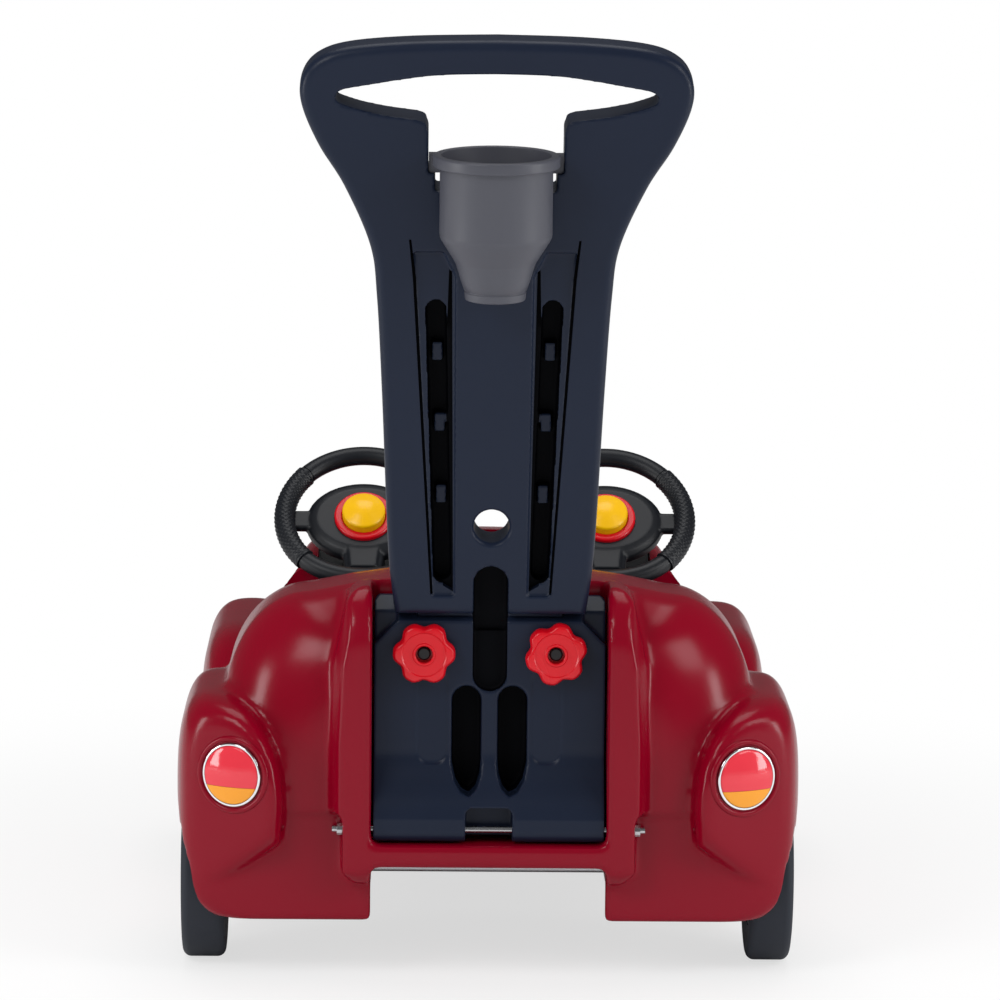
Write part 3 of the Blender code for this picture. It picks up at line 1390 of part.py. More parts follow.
def handle_base():
    item = prism("handle_base", base_profile(), -BASE_HALF, BASE_HALF, "X", handle_black())
    half = BASE_HALF + 0.002
    top = BASE_EAR_TOP + 0.002
    outline = [
        (-half, channel_floor()),
        (half, channel_floor()),
        (half, BASE_EAR_LOW),
        (BASE_EAR_HALF, top),
        (-BASE_EAR_HALF, top),
        (-half, BASE_EAR_LOW),
    ]
    combine(item, "INTERSECT", prism("base_outline", outline, -0.400, -0.280, "Y"))
    for word, side in SIDES:
        corner = [
            (PLATE_TOP_HALF, BASE_PLATE_TOP),
            (BASE_HALF + 0.020, BASE_PLATE_TOP - (BASE_HALF + 0.020 - PLATE_TOP_HALF)),
            (BASE_HALF + 0.020, 0.400),
            (PLATE_TOP_HALF, 0.400),
        ]
        cut(item, prism("ear_cut_" + word, [(side * x, z) for x, z in corner], -0.400, BASE_BACK_Y + 0.012, "Y"))
    room = HANDLE_FOOT_HALF + HANDLE_SIDE_GAP
    rings = [[on_handle(x, s, depth) for x, depth in ((-room, -0.030), (room, -0.030), (room, 0.080), (-room, 0.080))]
             for s in (HANDLE_BOTTOM - SEAT_GAP, 0.200)]
    cut(item, loft("handle_room", rings))
    rings = []
    gap = SEAT_GAP
    for s in (HANDLE_BOTTOM + 0.010, HANDLE_BOTTOM - TONGUE_LENGTH - gap):
        low = HANDLE_DEPTH - TONGUE_INSET - TONGUE_DEPTH - gap
        high = HANDLE_DEPTH - TONGUE_INSET + gap
        reach = TONGUE_HALF + gap
        rings.append([on_handle(x, s, depth) for x, depth in ((-reach, low), (reach, low), (reach, high), (-reach, high))])
    cut(item, loft("tongue_room", rings))
    centre = slot_outline(0.400, 0.2800, 0.0165, 0.0165, 0.0, 0.0)
    cut(item, prism("base_centre_slot", centre, -0.400, BASE_BACK_Y + 0.010, "Y"))
    for word, side in SIDES:
        slot = base_slot_outline()
        depth = BASE_BACK_Y + BASE_SLOT_DEPTH
        cut(item, prism("base_slot_" + word, [(side * x, z) for x, z in slot], -0.400, depth, "Y"))
        hole_start = (side * KNOB_X, BASE_BACK_Y - 0.010, KNOB_Z)
        cut(item, rod("base_hole_" + word, hole_start, (0.0, 1.0, 0.0), 0.080, BOLT_RADIUS + RUNNING_GAP, ROUND_SMALL))
    notch = rounded_rectangle((-NOTCH_HALF, 0.100), (NOTCH_HALF, NOTCH_TOP), 0.006, 2)
    cut(item, prism("notch_cut", notch, -0.400, HINGE_Y + 0.009, "Y"))
    hole = rod("base_rod_hole", (-0.200, HINGE_Y, HINGE_Z), (1.0, 0.0, 0.0), 0.400, ROD_RADIUS + RUNNING_GAP)
    return cut(item, hole)


def hinge_rod():
    reach = rail_low_half() + ROD_REACH
    return rod("hinge_rod", (-reach, HINGE_Y, HINGE_Z), (1.0, 0.0, 0.0), 2.0 * reach, ROD_RADIUS, ROUND_SMALL, steel())


def hinge_nut(word, side):
    start = (side * (rail_low_half() + SEAT_GAP), HINGE_Y, HINGE_Z)
    place = frame_at(start, (0.0, 1.0, 0.0), (side, 0.0, 0.0))
    bore = ROD_RADIUS + SEAT_GAP
    ring = [(bore, 0.0), (NUT_ACROSS + 0.0006, 0.0), (NUT_ACROSS + 0.0006, NUT_THICKNESS), (bore, NUT_THICKNESS)]
    return turned("hinge_nut_" + word, ring, place, 12, steel(), False)


def knob(word, side):
    """A six-lobed hand knob with a round well in its front."""
    outline = []
    count = KNOB_LOBES * 6
    turn = 0.0 if side < 0 else math.radians(17.0)
    for step in range(count):
        angle = 2.0 * math.pi * step / count
        radius = KNOB_RADIUS - KNOB_LOBE_DEPTH * (0.5 - 0.5 * math.cos(KNOB_LOBES * angle))
        outline.append((radius * math.cos(angle + turn), radius * math.sin(angle + turn)))
    back = BASE_BACK_Y - SEAT_GAP
    place = frame_at((side * KNOB_X, back, KNOB_Z), (1.0, 0.0, 0.0), (0.0, -1.0, 0.0))
    edge = KNOB_EDGE
    layers = [(0.0, edge), (edge, 0.0), (KNOB_THICKNESS - edge, 0.0), (KNOB_THICKNESS, edge)]
    item = rounded_plate("knob_" + word, outline, [], layers, place, knob_red())
    well = [(0.0, KNOB_THICKNESS - KNOB_BORE_DEPTH), (KNOB_BORE, KNOB_THICKNESS - KNOB_BORE_DEPTH), (KNOB_BORE, 0.030), (0.0, 0.030)]
    cut(item, turned("knob_well_" + word, well, place))
    hole = [(0.0, -0.010), (BOLT_RADIUS + SEAT_GAP, -0.010), (BOLT_RADIUS + SEAT_GAP, 0.030), (0.0, 0.030)]
    return cut(item, turned("knob_hole_" + word, hole, place, ROUND_SMALL))


def knob_bolt(word, side):
    """A round-headed bolt that lies in the knob's well and reaches into the body's wall."""
    head_y = BASE_BACK_Y - SEAT_GAP - (KNOB_THICKNESS - KNOB_BORE_DEPTH) - SEAT_GAP
    place = frame_at((side * KNOB_X, head_y, KNOB_Z), (1.0, 0.0, 0.0), (0.0, 1.0, 0.0))
    length = CHANNEL_FRONT_Y + BOLT_PAST - head_y
    profile = [(0.0, -0.004), (0.005, -0.004), (0.0065, -0.0025), (0.0065, 0.0), (BOLT_RADIUS, 0.0), (BOLT_RADIUS, length), (0.0, length)]
    return turned("knob_bolt_" + word, profile, place, ROUND_SMALL, bolt_black())


def cup_frame():
    return frame_at((0.0, CUP_Y, CUP_RIM_Z), (1.0, 0.0, 0.0), (0.0, -math.sin(CUP_LEAN), math.cos(CUP_LEAN)))


def cup_outline(gap):
    """Half the cup's outside from its bottom edge to its lip, moved out by a gap."""
    low = -CUP_DEPTH
    outline = [
        (CUP_BOTTOM_RADIUS, low),
        (CUP_BOTTOM_RADIUS + 0.0005, low + CUP_FOOT),
        (CUP_BOTTOM_RADIUS + 0.0040, low + 0.022),
        (CUP_BODY_RADIUS - 0.0050, -CUP_STRAIGHT - 0.012),
        (CUP_BODY_RADIUS - 0.0005, -CUP_STRAIGHT),
        (CUP_BODY_RADIUS, -CUP_LIP),
    ]
    outline = [(radius + gap, height) for radius, height in outline]
    return [(outline[0][0], low - gap)] + outline[1:]


def cup_holder():
    wall = CUP_WALL
    low = -CUP_DEPTH
    profile = [(0.0, low)] + cup_outline(0.0) + [
        (CUP_RIM_RADIUS, -CUP_LIP),
        (CUP_RIM_RADIUS, 0.0),
        (CUP_BODY_RADIUS - wall + 0.001, 0.0),
        (CUP_BODY_RADIUS - wall - 0.0005, -CUP_STRAIGHT),
        (CUP_BOTTOM_RADIUS - wall + 0.0040, low + 0.022),
        (CUP_BOTTOM_RADIUS - wall, low + wall),
        (0.0, low + wall),
    ]
    item = turned("cup_holder", profile, cup_frame(), ROUND_FINE, cup_grey())
    inner = LUG_INNER
    outer = CUP_STEP_HALF - SEAT_GAP
    for word, side in SIDES:
        rings = []
        for s in (CUP_STEP + SEAT_GAP, CUP_STEP + LUG_HEIGHT):
            corners = ((inner, LUG_NEAR), (outer, LUG_NEAR), (outer, LUG_FAR), (inner, LUG_FAR))
            rings.append([on_handle(side * x, s, depth) for x, depth in corners])
        weld(item, loft("lug_" + word, rings))
    return item


def shift_to_middle():
    """Move everything, so that y = 0 is the middle of the whole length and z = 0 the floor."""
    for item in bpy.data.objects:
        item.location.y += MIDDLE_SHIFT
        item.location.z += FLOOR_DROP


def put_origins_on_joints():
    hinge = (0.0, HINGE_Y, HINGE_Z)
    for name in ("handle_base", "push_handle"):
        set_origin(bpy.data.objects[name], hinge)
    set_origin(bpy.data.objects["cup_holder"], (0.0, CUP_Y, CUP_RIM_Z))
    for word, side in SIDES:
        steer = (side * STEER_X, STEER_Y, STEER_Z)
        for name in ("steering_wheel_", "steering_column_", "horn_ring_", "horn_button_"):
            set_origin(bpy.data.objects[name + word], steer)
        for name in ("knob_", "knob_bolt_"):
            set_origin(bpy.data.objects[name + word], (side * KNOB_X, BASE_BACK_Y, KNOB_Z))
        for name in ("rear_tyre_", "rear_hub_", "hub_cap_"):
            set_origin(bpy.data.objects[name + word], (side * REAR_TYRE_OUTER_X, REAR_AXLE_Y, rear_axle_z()))
        for name in ("caster_fork_", "caster_stem_", "caster_axle_"):
            set_origin(bpy.data.objects[name + word], (side * CASTER_X, CASTER_Y, FORK_TOP))
        axle = (side * CASTER_X, CASTER_Y - CASTER_TRAIL, caster_axle_z())
        for name in ("front_tyre_", "front_hub_"):
            set_origin(bpy.data.objects[name + word], axle)


def build_car():
    clear_scene()
    body_shell()
    cockpit_insert()
    dashboard()
    grille()
    rear_axle()
    front_beam()
    push_handle()
    handle_base()
    hinge_rod()
    cup_holder()
    for word, side in SIDES:
        seat(word, side)
        steering_wheel(word, side)
        steering_column(word, side)
        horn_ring(word, side)
        horn_button(word, side)
        horn_spring(word, side)
        tail_lights(word, side)
        head_lights(word, side)
        axle_carrier(word, side)
        rear_wheel(word, side)
        caster_fork(word, side)
        caster_stem(word, side)
        caster_axle(word, side)
        caster_wheel(word, side)
        hinge_nut(word, side)
        knob(word, side)
        knob_bolt(word, side)
    put_origins_on_joints()
    shift_to_middle()


build_car()
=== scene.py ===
# %% [markdown]
# # A two-seat ride-on car with a push handle
# The solids of the car are made elsewhere, at their real size. This lesson dresses them: it
# gives each surface its finish, and makes the fine forms that a plain solid leaves out. All
# lengths are in metres, X runs across the car, Y forward and Z up.

# %% Load the car's solids
import json
import math

import bmesh
import bpy
from mathutils import Matrix, Vector

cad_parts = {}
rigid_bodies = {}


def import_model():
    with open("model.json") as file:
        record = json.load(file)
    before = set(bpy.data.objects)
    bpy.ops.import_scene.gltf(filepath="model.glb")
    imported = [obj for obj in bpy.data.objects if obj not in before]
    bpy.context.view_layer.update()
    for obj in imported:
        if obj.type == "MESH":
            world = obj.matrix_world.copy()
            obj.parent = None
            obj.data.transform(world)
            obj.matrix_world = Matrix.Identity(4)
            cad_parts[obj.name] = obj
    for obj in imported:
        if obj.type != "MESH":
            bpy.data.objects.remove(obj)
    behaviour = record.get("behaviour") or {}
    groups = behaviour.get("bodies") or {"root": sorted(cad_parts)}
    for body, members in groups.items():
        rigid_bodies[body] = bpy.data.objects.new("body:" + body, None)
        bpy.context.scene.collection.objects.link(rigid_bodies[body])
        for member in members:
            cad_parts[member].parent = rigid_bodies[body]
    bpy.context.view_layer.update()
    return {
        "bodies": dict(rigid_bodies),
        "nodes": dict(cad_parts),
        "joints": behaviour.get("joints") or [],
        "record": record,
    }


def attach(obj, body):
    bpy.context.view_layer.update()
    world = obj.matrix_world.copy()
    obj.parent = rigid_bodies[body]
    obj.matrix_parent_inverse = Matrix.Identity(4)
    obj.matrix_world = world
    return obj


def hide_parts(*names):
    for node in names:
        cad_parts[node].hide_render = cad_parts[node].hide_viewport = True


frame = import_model()

# %% [markdown]
# ## Camera
# The photograph looks at the back of the car from a little above, through a long lens. The
# camera stands five metres behind the car, leans down a little and rolls by less than a degree.

# %% Place the camera
CAMERA_TURN = math.radians(-0.76)
CAMERA_PITCH = math.radians(8.5)
CAMERA_ROLL = math.radians(0.55)
CAMERA_DISTANCE = 5.32
CAMERA_HEIGHT = 1.2154
CAMERA_LENS = 189.5
CAMERA_SENSOR = 36.0
CAMERA_SHIFT = 0.0132
CAMERA_MIDDLE_Y = 0.0664


def place_camera():
    data = bpy.data.cameras.new("camera")
    data.lens = CAMERA_LENS
    data.sensor_width = CAMERA_SENSOR
    data.shift_x = CAMERA_SHIFT
    camera = bpy.data.objects.new("camera", data)
    bpy.context.scene.collection.objects.link(camera)
    spot = Vector((
        math.sin(CAMERA_TURN) * CAMERA_DISTANCE,
        CAMERA_MIDDLE_Y - math.cos(CAMERA_TURN) * CAMERA_DISTANCE,
        CAMERA_HEIGHT,
    ))
    turn = Matrix.Rotation(CAMERA_TURN, 4, "Z")
    pitch = Matrix.Rotation(math.pi / 2.0 - CAMERA_PITCH, 4, "X")
    roll = Matrix.Rotation(CAMERA_ROLL, 4, "Z")
    camera.matrix_world = Matrix.Translation(spot) @ turn @ pitch @ roll
    bpy.context.scene.camera = camera
    return camera


camera = place_camera()
print("camera at", [round(value, 3) for value in camera.location])

# %% [markdown]
# ## Shader maths
# A finish is a small sum of noises and masks. Written as nodes such a sum is long, so one class
# wraps a socket and lets Python's own signs add the Math nodes. A second holds the tree of nodes,
# and a third the material at its end.

# %% Sockets that know arithmetic


class Wire:
    """A socket in a tree of nodes, or what a sum of sockets gives."""

    def __init__(self, mix, socket):
        self.mix = mix
        self.socket = socket

    def maths(self, operation, first, second):
        return self.mix.node("Math", {"operation": operation}, {0: first, 1: second})

    def __add__(self, other):
        return self.maths("ADD", self, other)

    __radd__ = __add__

    def __sub__(self, other):
        return self.maths("SUBTRACT", self, other)

    def __mul__(self, other):
        return self.maths("MULTIPLY", self, other)

    __rmul__ = __mul__


class Mix:
    """A tree of nodes that is being built."""

    def __init__(self, tree):
        self.tree = tree

    def node(self, kind, settings=None, inputs=None, output=0):
        made = self.tree.nodes.new("ShaderNode" + kind)
        for name, value in (settings or {}).items():
            setattr(made, name, value)
        for name, value in (inputs or {}).items():
            self.join(made.inputs[name], value)
        return Wire(self, made.outputs[output])

    def join(self, socket, value):
        if isinstance(value, Wire):
            self.tree.links.new(value.socket, socket)
        else:
            socket.default_value = value


class Finish(Mix):
    """A material that is being mixed, with a Principled shader at its end."""

    def __init__(self, name, **settings):
        self.material = bpy.data.materials.new(name)
        self.material.use_nodes = True
        super().__init__(self.material.node_tree)
        self.shader = self.tree.nodes["Principled BSDF"]
        for socket, value in settings.items():
            self.feed(socket.replace("_", " "), value)

    def feed(self, socket, value):
        self.join(self.shader.inputs[socket], value)

    def place(self):
        return self.node("TexCoord", output="Object")

    def noise(self, scale, detail):
        inputs = {"Vector": self.place(), "Scale": scale, "Detail": detail}
        return self.node("TexNoise", None, inputs)

    def blend(self, share, first, second):
        return self.node("Mix", {"data_type": "RGBA"}, {0: share, 6: first, 7: second}, 2)

    def bump(self, height, strength, distance):
        inputs = {"Strength": strength, "Distance": distance, "Height": height}
        self.feed("Normal", self.node("Bump", None, inputs))


print("shader helpers ready")

# %% [markdown]
# ## Moulded plastic
# Every large piece of the car is moulded plastic. Its colour is even, its gloss is not: the
# surface holds faint pools of more and less shine, and a grain too fine to see one by one. The
# same recipe, with other numbers, gives the red body, the blue-black handle and the black trim,
# and also a near-black painted shade for the faces deep in the slots.

# %% Mix the moulded plastics
POOL_SCALE = 9.0
POOL_SHINE = 0.12
GRAIN_STRENGTH = 0.35

# Each recipe: colour, the colour of its darker pools, roughness, gloss, and the grain's fineness
# and depth.
PLASTICS = {
    "body_red": ((0.225, 0.0002, 0.0120), (0.200, 0.0001, 0.0095), 0.22, 0.22, 900.0, 0.00008),
    "handle_black": ((0.0090, 0.0145, 0.032), (0.0075, 0.0125, 0.028), 0.36, 0.20, 1400.0, 0.00012),
    "inside_black": ((0.014, 0.015, 0.018), (0.010, 0.011, 0.013), 0.50, 0.30, 1400.0, 0.00014),
    "wheel_black": ((0.008, 0.010, 0.014), (0.006, 0.007, 0.010), 0.40, 0.35, 1200.0, 0.0001),
    "tyre_slate": ((0.020, 0.024, 0.034), (0.016, 0.019, 0.028), 0.62, 0.30, 700.0, 0.0002),
    "hub_grey": ((0.30, 0.31, 0.33), (0.26, 0.27, 0.29), 0.40, 0.40, 1100.0, 0.0001),
    "cup_grey": ((0.074, 0.076, 0.094), (0.066, 0.068, 0.084), 0.42, 0.35, 1100.0, 0.0001),
    "knob_red": ((0.60, 0.002, 0.010), (0.54, 0.001, 0.008), 0.26, 0.42, 1100.0, 0.00006),
    "horn_yellow": ((0.90, 0.50, 0.0), (0.84, 0.45, 0.0), 0.28, 0.40, 1100.0, 0.00006),
    # The next entry is no plastic of its own but painted shade: a near-black, nearly glossless colour
    # laid on the faces deep in the slots of the handle and its base, where shade falls.
    "painted_slot_shade": ((0.0012, 0.0015, 0.0030), (0.0008, 0.0010, 0.0020), 0.60, 0.06, 1200.0, 0.0001),
    "bolt_black": ((0.012, 0.012, 0.014), (0.008, 0.008, 0.010), 0.34, 0.40, 1200.0, 0.0001),
    "lens_red": ((0.76, 0.05, 0.07), (0.70, 0.03, 0.05), 0.10, 0.50, 300.0, 0.0001),
    "lens_amber": ((0.88, 0.35, 0.02), (0.82, 0.30, 0.01), 0.10, 0.50, 300.0, 0.0001),
}


def moulded(name, colour, darker, roughness, gloss, grain_scale, grain_depth):
    finish = Finish(name, Specular_IOR_Level=gloss)
    pools = finish.noise(POOL_SCALE, 3.0)
    finish.feed("Base Color", finish.blend(pools, (*darker, 1.0), (*colour, 1.0)))
    finish.feed("Roughness", roughness + POOL_SHINE * (pools - 0.5))
    finish.bump(finish.noise(grain_scale, 1.0), GRAIN_STRENGTH, grain_depth)
    return finish.material


finishes = {name: moulded(name, *recipe) for name, recipe in PLASTICS.items()}
print("plastics", len(finishes))

# %% Mix the clear lens and the metals
RIB_SCALE = 62.0
RIB_SHADE = (0.30, 0.32, 0.35, 1.0)
RIB_LIGHT = (0.74, 0.77, 0.80, 1.0)
STREAK_SCALE = 220.0
STREAK_SHINE = 0.10


def ribbed_lens():
    """Clear cover of a headlight, with upright ribs behind its smooth face."""
    finish = Finish("lens_clear", Roughness=0.08, Coat_Weight=0.6, Coat_Roughness=0.03)
    waves = {"Vector": finish.place(), "Scale": RIB_SCALE}
    ribs = finish.node("TexWave", {"bands_direction": "X"}, waves)
    finish.feed("Base Color", finish.blend(ribs, RIB_SHADE, RIB_LIGHT))
    finish.bump(ribs, 0.5, 0.0006)
    return finish.material


def metal(name, colour, roughness):
    finish = Finish(name, Metallic=1.0)
    streaks = finish.noise(STREAK_SCALE, 3.0)
    finish.feed("Base Color", (*colour, 1.0))
    finish.feed("Roughness", roughness + STREAK_SHINE * (streaks - 0.5))
    return finish.material


def finish_of(node):
    """The finish named by the material that the solid came with."""
    return node.material_slots[0].material.name.split(".")[0]


finishes["lens_clear"] = ribbed_lens()
finishes["chrome"] = metal("chrome", (0.80, 0.81, 0.83), 0.12)
finishes["steel"] = metal("steel", (0.56, 0.57, 0.59), 0.26)
for name, node in frame["nodes"].items():
    given = finish_of(node)
    if given not in finishes:
        print("no finish for", name, given)
        continue
    for place in node.material_slots:
        place.material = finishes[given]
print("finishes", len(finishes))

# %% [markdown]
# ## Tools for the fine forms
# The solids have few facets, so the large forms are made again here with many. A section that
# changes along the car is a row of rings, and a round piece is a profile that is spun. Both give
# a closed mesh, which modifiers then cut, weld and round, as one would by hand.

# %% Rings, spins and plates
BOTH = (-1.0, 1.0)
SIDES = (("left", -1.0), ("right", 1.0))
ACROSS = (1.0, 0.0, 0.0)
FORWARD = (0.0, 1.0, 0.0)
OWN_ZERO = Vector((0.0, 0.06643, 0.0045))
TINY = 1e-9
MERGE_NEAR = 1e-7
MERGE_SPUN = 1e-6
CORNER_STEPS = 8
PUSHED_ALONG = {
    "X": lambda a, b, c: (c, a, b),
    "Y": lambda a, b, c: (a, c, b),
    "Z": lambda a, b, c: (a, b, c),
}


def only(item):
    """Make one object the selected and active one."""
    bpy.ops.object.select_all(action="DESELECT")
    item.select_set(True)
    bpy.context.view_layer.objects.active = item


def object_from(name, bm):
    mesh = bpy.data.meshes.new(name)
    bm.to_mesh(mesh)
    bm.free()
    item = bpy.data.objects.new(name, mesh)
    bpy.context.scene.collection.objects.link(item)
    return item


def rings_to_solid(name, rings, around=False):
    """A closed solid through rings of equally many points, with flat ends or joined around."""
    bm = bmesh.new()
    rows = [[bm.verts.new(point) for point in ring] for ring in rings]
    count = len(rows[0])
    for near, far in zip(rows, rows[1:] + (rows[:1] if around else [])):
        for index in range(count):
            after = (index + 1) % count
            bm.faces.new((near[index], near[after], far[after], far[index]))
    if not around:
        bm.faces.new(rows[0])
        bm.faces.new(rows[-1])
    bmesh.ops.remove_doubles(bm, verts=bm.verts, dist=MERGE_NEAR)
    bmesh.ops.recalc_face_normals(bm, faces=bm.faces)
    return object_from(name, bm)


def rectangle(low, high):
    return [low, (high[0], low[1]), high, (low[0], high[1])]


def prism(name, outline, low, high, axis):
    """An outline pushed along one axis."""
    spot = PUSHED_ALONG[axis]
    return rings_to_solid(name, [[spot(a, b, depth) for a, b in outline] for depth in (low, high)])


def block(name, x_range, y_range, z_range):
    (x0, x1), (y0, y1) = x_range, y_range
    return prism(name, rectangle((x0, y0), (x1, y1)), *z_range, "Z")


def frame_at(origin, across, along):
    """Turns local x, y, z into a place on the car, with z along the last direction."""
    start = Vector(origin)
    third = Vector(along).normalized()
    first = Vector(across).normalized()
    second = third.cross(first)
    return lambda x, y, z: start + first * x + second * y + third * z


def spun(name, profile, frame, steps=64):
    """A profile of (radius, height) pairs, spun about the frame's third axis in edit mode."""
    centre = frame(0.0, 0.0, 0.0)
    axis = frame(0.0, 0.0, 1.0) - centre
    bm = bmesh.new()
    points = [bm.verts.new(frame(radius, 0.0, height)) for radius, height in profile]
    closed = profile[0][0] > TINY or profile[-1][0] > TINY
    for near, far in zip(points, points[1:] + (points[:1] if closed else [])):
        bm.edges.new((near, far))
    item = object_from(name, bm)
    only(item)
    bpy.ops.object.mode_set(mode="EDIT")
    bpy.ops.mesh.select_all(action="SELECT")
    bpy.ops.mesh.spin(steps=steps, angle=2.0 * math.pi, center=centre, axis=axis)
    bpy.ops.mesh.select_all(action="SELECT")
    bpy.ops.mesh.remove_doubles(threshold=MERGE_SPUN)
    bpy.ops.mesh.normals_make_consistent(inside=False)
    bpy.ops.object.mode_set(mode="OBJECT")
    return item


def disc(name, radius, low, high, frame, steps=64):
    return spun(name, [(0.0, low), (radius, low), (radius, high), (0.0, high)], frame, steps)


def rod(name, start, direction, length, radius, steps=48):
    across = FORWARD if abs(direction[0]) > 0.5 else ACROSS
    return disc(name, radius, 0.0, length, frame_at(start, across, direction), steps)


def finish_with(item, kind, **settings):
    """Add a modifier, set it and apply it."""
    only(item)
    modifier = item.modifiers.new(kind.lower(), kind)
    for name, value in settings.items():
        setattr(modifier, name, value)
    bpy.ops.object.modifier_apply(modifier=modifier.name)
    return item


def combine(item, operation, *guides):
    for guide in guides:
        finish_with(item, "BOOLEAN", operation=operation, solver="EXACT", object=guide)
        bpy.data.objects.remove(guide, do_unlink=True)
    return item


def cut(item, *guides):
    return combine(item, "DIFFERENCE", *guides)


def weld(item, *guides):
    return combine(item, "UNION", *guides)


def melt(item, square, rounds):
    """Lay the skin again in small squares and smooth it, so that every edge gets a radius."""
    finish_with(item, "REMESH", mode="VOXEL", voxel_size=square, adaptivity=0.0)
    return finish_with(item, "SMOOTH", factor=0.5, iterations=rounds)


def arc(middle, radius, start, end, steps):
    """Points on part of a circle, from one angle in degrees to another."""
    points = []
    for step in range(steps + 1):
        angle = math.radians(start + (end - start) * step / steps)
        points.append((middle[0] + radius * math.cos(angle), middle[1] + radius * math.sin(angle)))
    return points


def rounded_rectangle(low, high, radius):
    corners = rectangle((low[0] + radius, low[1] + radius), (high[0] - radius, high[1] - radius))
    points = []
    for turn, corner in zip((-90.0, 0.0, 90.0, 180.0), corners[1:] + corners[:1]):
        points += arc(corner, radius, turn, turn + 90.0, CORNER_STEPS)
    return points


def smooth_through(points, steps):
    """Points on a smooth curve through the given ones. A point may hold any number of values."""
    result = []
    padded = [points[0], *points, points[-1]]
    for near in zip(padded, padded[1:], padded[2:], padded[3:]):
        for step in range(steps):
            t = step / steps
            result.append(tuple(
                0.5 * (2 * b + (c - a) * t + (2 * a - 5 * b + 4 * c - d) * t * t
                       + (3 * b - a - 3 * c + d) * t ** 3)
                for a, b, c, d in zip(*near)))
    return result + [tuple(points[-1])]


def mirrored_loop(half):
    """A closed loop from a half outline that starts and ends on the middle line."""
    return list(half) + [(-x, y) for x, y in reversed(half) if x > TINY]


def on_side(side, outline):
    return [(side * x, y) for x, y in outline]


print("form helpers ready")

# %% [markdown]
# ## The red body
# The real body is one hollow moulding with no sharp edge anywhere: its fenders swell out of the
# deck and every edge is round. It is made the way a clay model is. The rough forms are joined and
# cut, the whole skin is laid again in small even squares, and a few rounds of smoothing melt the
# joins into each other. Only then is it hollowed, and the seats of the lamps are cut crisply.

# %% Rough forms of the body
WALL = 0.0050
PANEL_Y = -0.3465
TAIL_Y = -0.3520
TAIL_ROUND = 0.0900
NOSE_Y = 0.3850
NOSE_ROUND = 0.0750
# Sections of the tub: half width, top, width and height of the shoulder, rise of the crown.
DECK = (0.2590, 0.3860, 0.0850, 0.1200, 0.0200)
DOOR = (0.2560, 0.2830, 0.0280, 0.0280, 0.0040)
HOOD = (0.1930, 0.3520, 0.0240, 0.0240, 0.0100)
TUB_BOTTOM = 0.1620
SKIRT_BOTTOM = 0.0550
HOLLOW_BOTTOM = -0.0500
LOWER_TOP = 0.1710
# Where the lamps sit: the middle of each face, how far it turns outwards, and its recess.
TAIL_LAMP = (0.2465, -0.3590, 0.2010)
TAIL_TURN = 25.0
HEAD_LAMP = (0.2400, 0.3720, 0.1950)
HEAD_TURN = 12.0
LAMP_SINK = 0.006
LAMP_SHARE = 0.62
# The fenders: middle, reaches (outer, inner, up, down), two ends, and how far round they go. Each
# end holds its start, its length, its direction, the middle and share it grows from, and its turn.
REAR_POD = (
    (0.262, 0.170), (0.0405, 0.068, 0.102, 0.118),
    ((TAIL_LAMP[1], 0.0870, 1.0, (TAIL_LAMP[0], TAIL_LAMP[2], LAMP_SHARE), TAIL_TURN),
     (-0.0950, 0.1200, -1.0, (0.2335, 0.1300, 0.45), 0.0)),
    (-68.0, 200.0))
FRONT_POD = (
    (0.250, 0.160), (0.048, 0.080, 0.097, 0.097),
    ((0.0950, 0.1100, 1.0, (0.2200, 0.1300, 0.50), 0.0),
     (HEAD_LAMP[1], 0.0700, -1.0, (HEAD_LAMP[0], HEAD_LAMP[2], LAMP_SHARE), HEAD_TURN)),
    (-20.0, 200.0))
SQUARE_OUTSIDE = 3.2
SQUARE_INSIDE = 2.1


def tub_ring(y, half, top, corner, tall, crown, inset, turns):
    """One section of the tub: straight sides, oval shoulders and a crowned top."""
    reach = half - corner
    middle = top - crown - tall
    side = [(half - inset, TUB_BOTTOM - inset)]
    for step in range(turns + 1):
        angle = math.radians(90.0 * step / turns)
        side.append((reach + (corner - inset) * math.cos(angle),
                     middle + (tall - inset) * math.sin(angle)))
    for share in (0.75, 0.5, 0.25, 0.0):
        side.append((reach * share, top - inset - crown * share * share))
    return [(x, y, z) for x, z in side + [(-x, z) for x, z in reversed(side[:-1])]]


def changed(section, *steps):
    return tuple(value + step for value, step in zip(section, steps + (0.0,) * 5))


def tub(name, inset, fine):
    """The upper body: rounded tail, deck, low doors, cowl, hood and nose."""
    quarter = [math.radians(degrees) for degrees in range(0, 91, 10 if fine else 30)]
    rows = []
    for angle in quarter:
        drawn = TAIL_ROUND * (1.0 - math.sin(angle))
        y = TAIL_Y + TAIL_ROUND * (1.0 - math.cos(angle))
        rows.append((y, *changed(DECK, -drawn, -drawn, -0.15 * drawn, -0.15 * drawn)))
    rows += [
        (-0.190, *changed(DECK, 0.0, -0.003)),
        (-0.145, 0.2570, 0.3520, 0.0595, 0.0840, 0.0120),
        (-0.090, *DOOR),
        (0.070, *DOOR),
        (0.125, *changed(DOOR, -0.014, 0.006)),
        (0.162, *changed(HOOD, 0.004, -0.008)),
        (0.220, *HOOD),
    ]
    for angle in reversed(quarter):
        drawn = NOSE_ROUND * (1.0 - math.sin(angle))
        y = NOSE_Y - NOSE_ROUND * (1.0 - math.cos(angle))
        rows.append((y, *changed(HOOD, -0.004 - 0.8 * drawn, -0.012 - drawn)))
    if fine:
        rows = smooth_through(rows, 3)
    rings = []
    for y, *section in rows:
        inner_y = min(max(y, TAIL_Y + inset), NOSE_Y - inset)
        rings.append(tub_ring(inner_y, *section, inset, 16 if fine else 2))
    return rings_to_solid(name, rings)


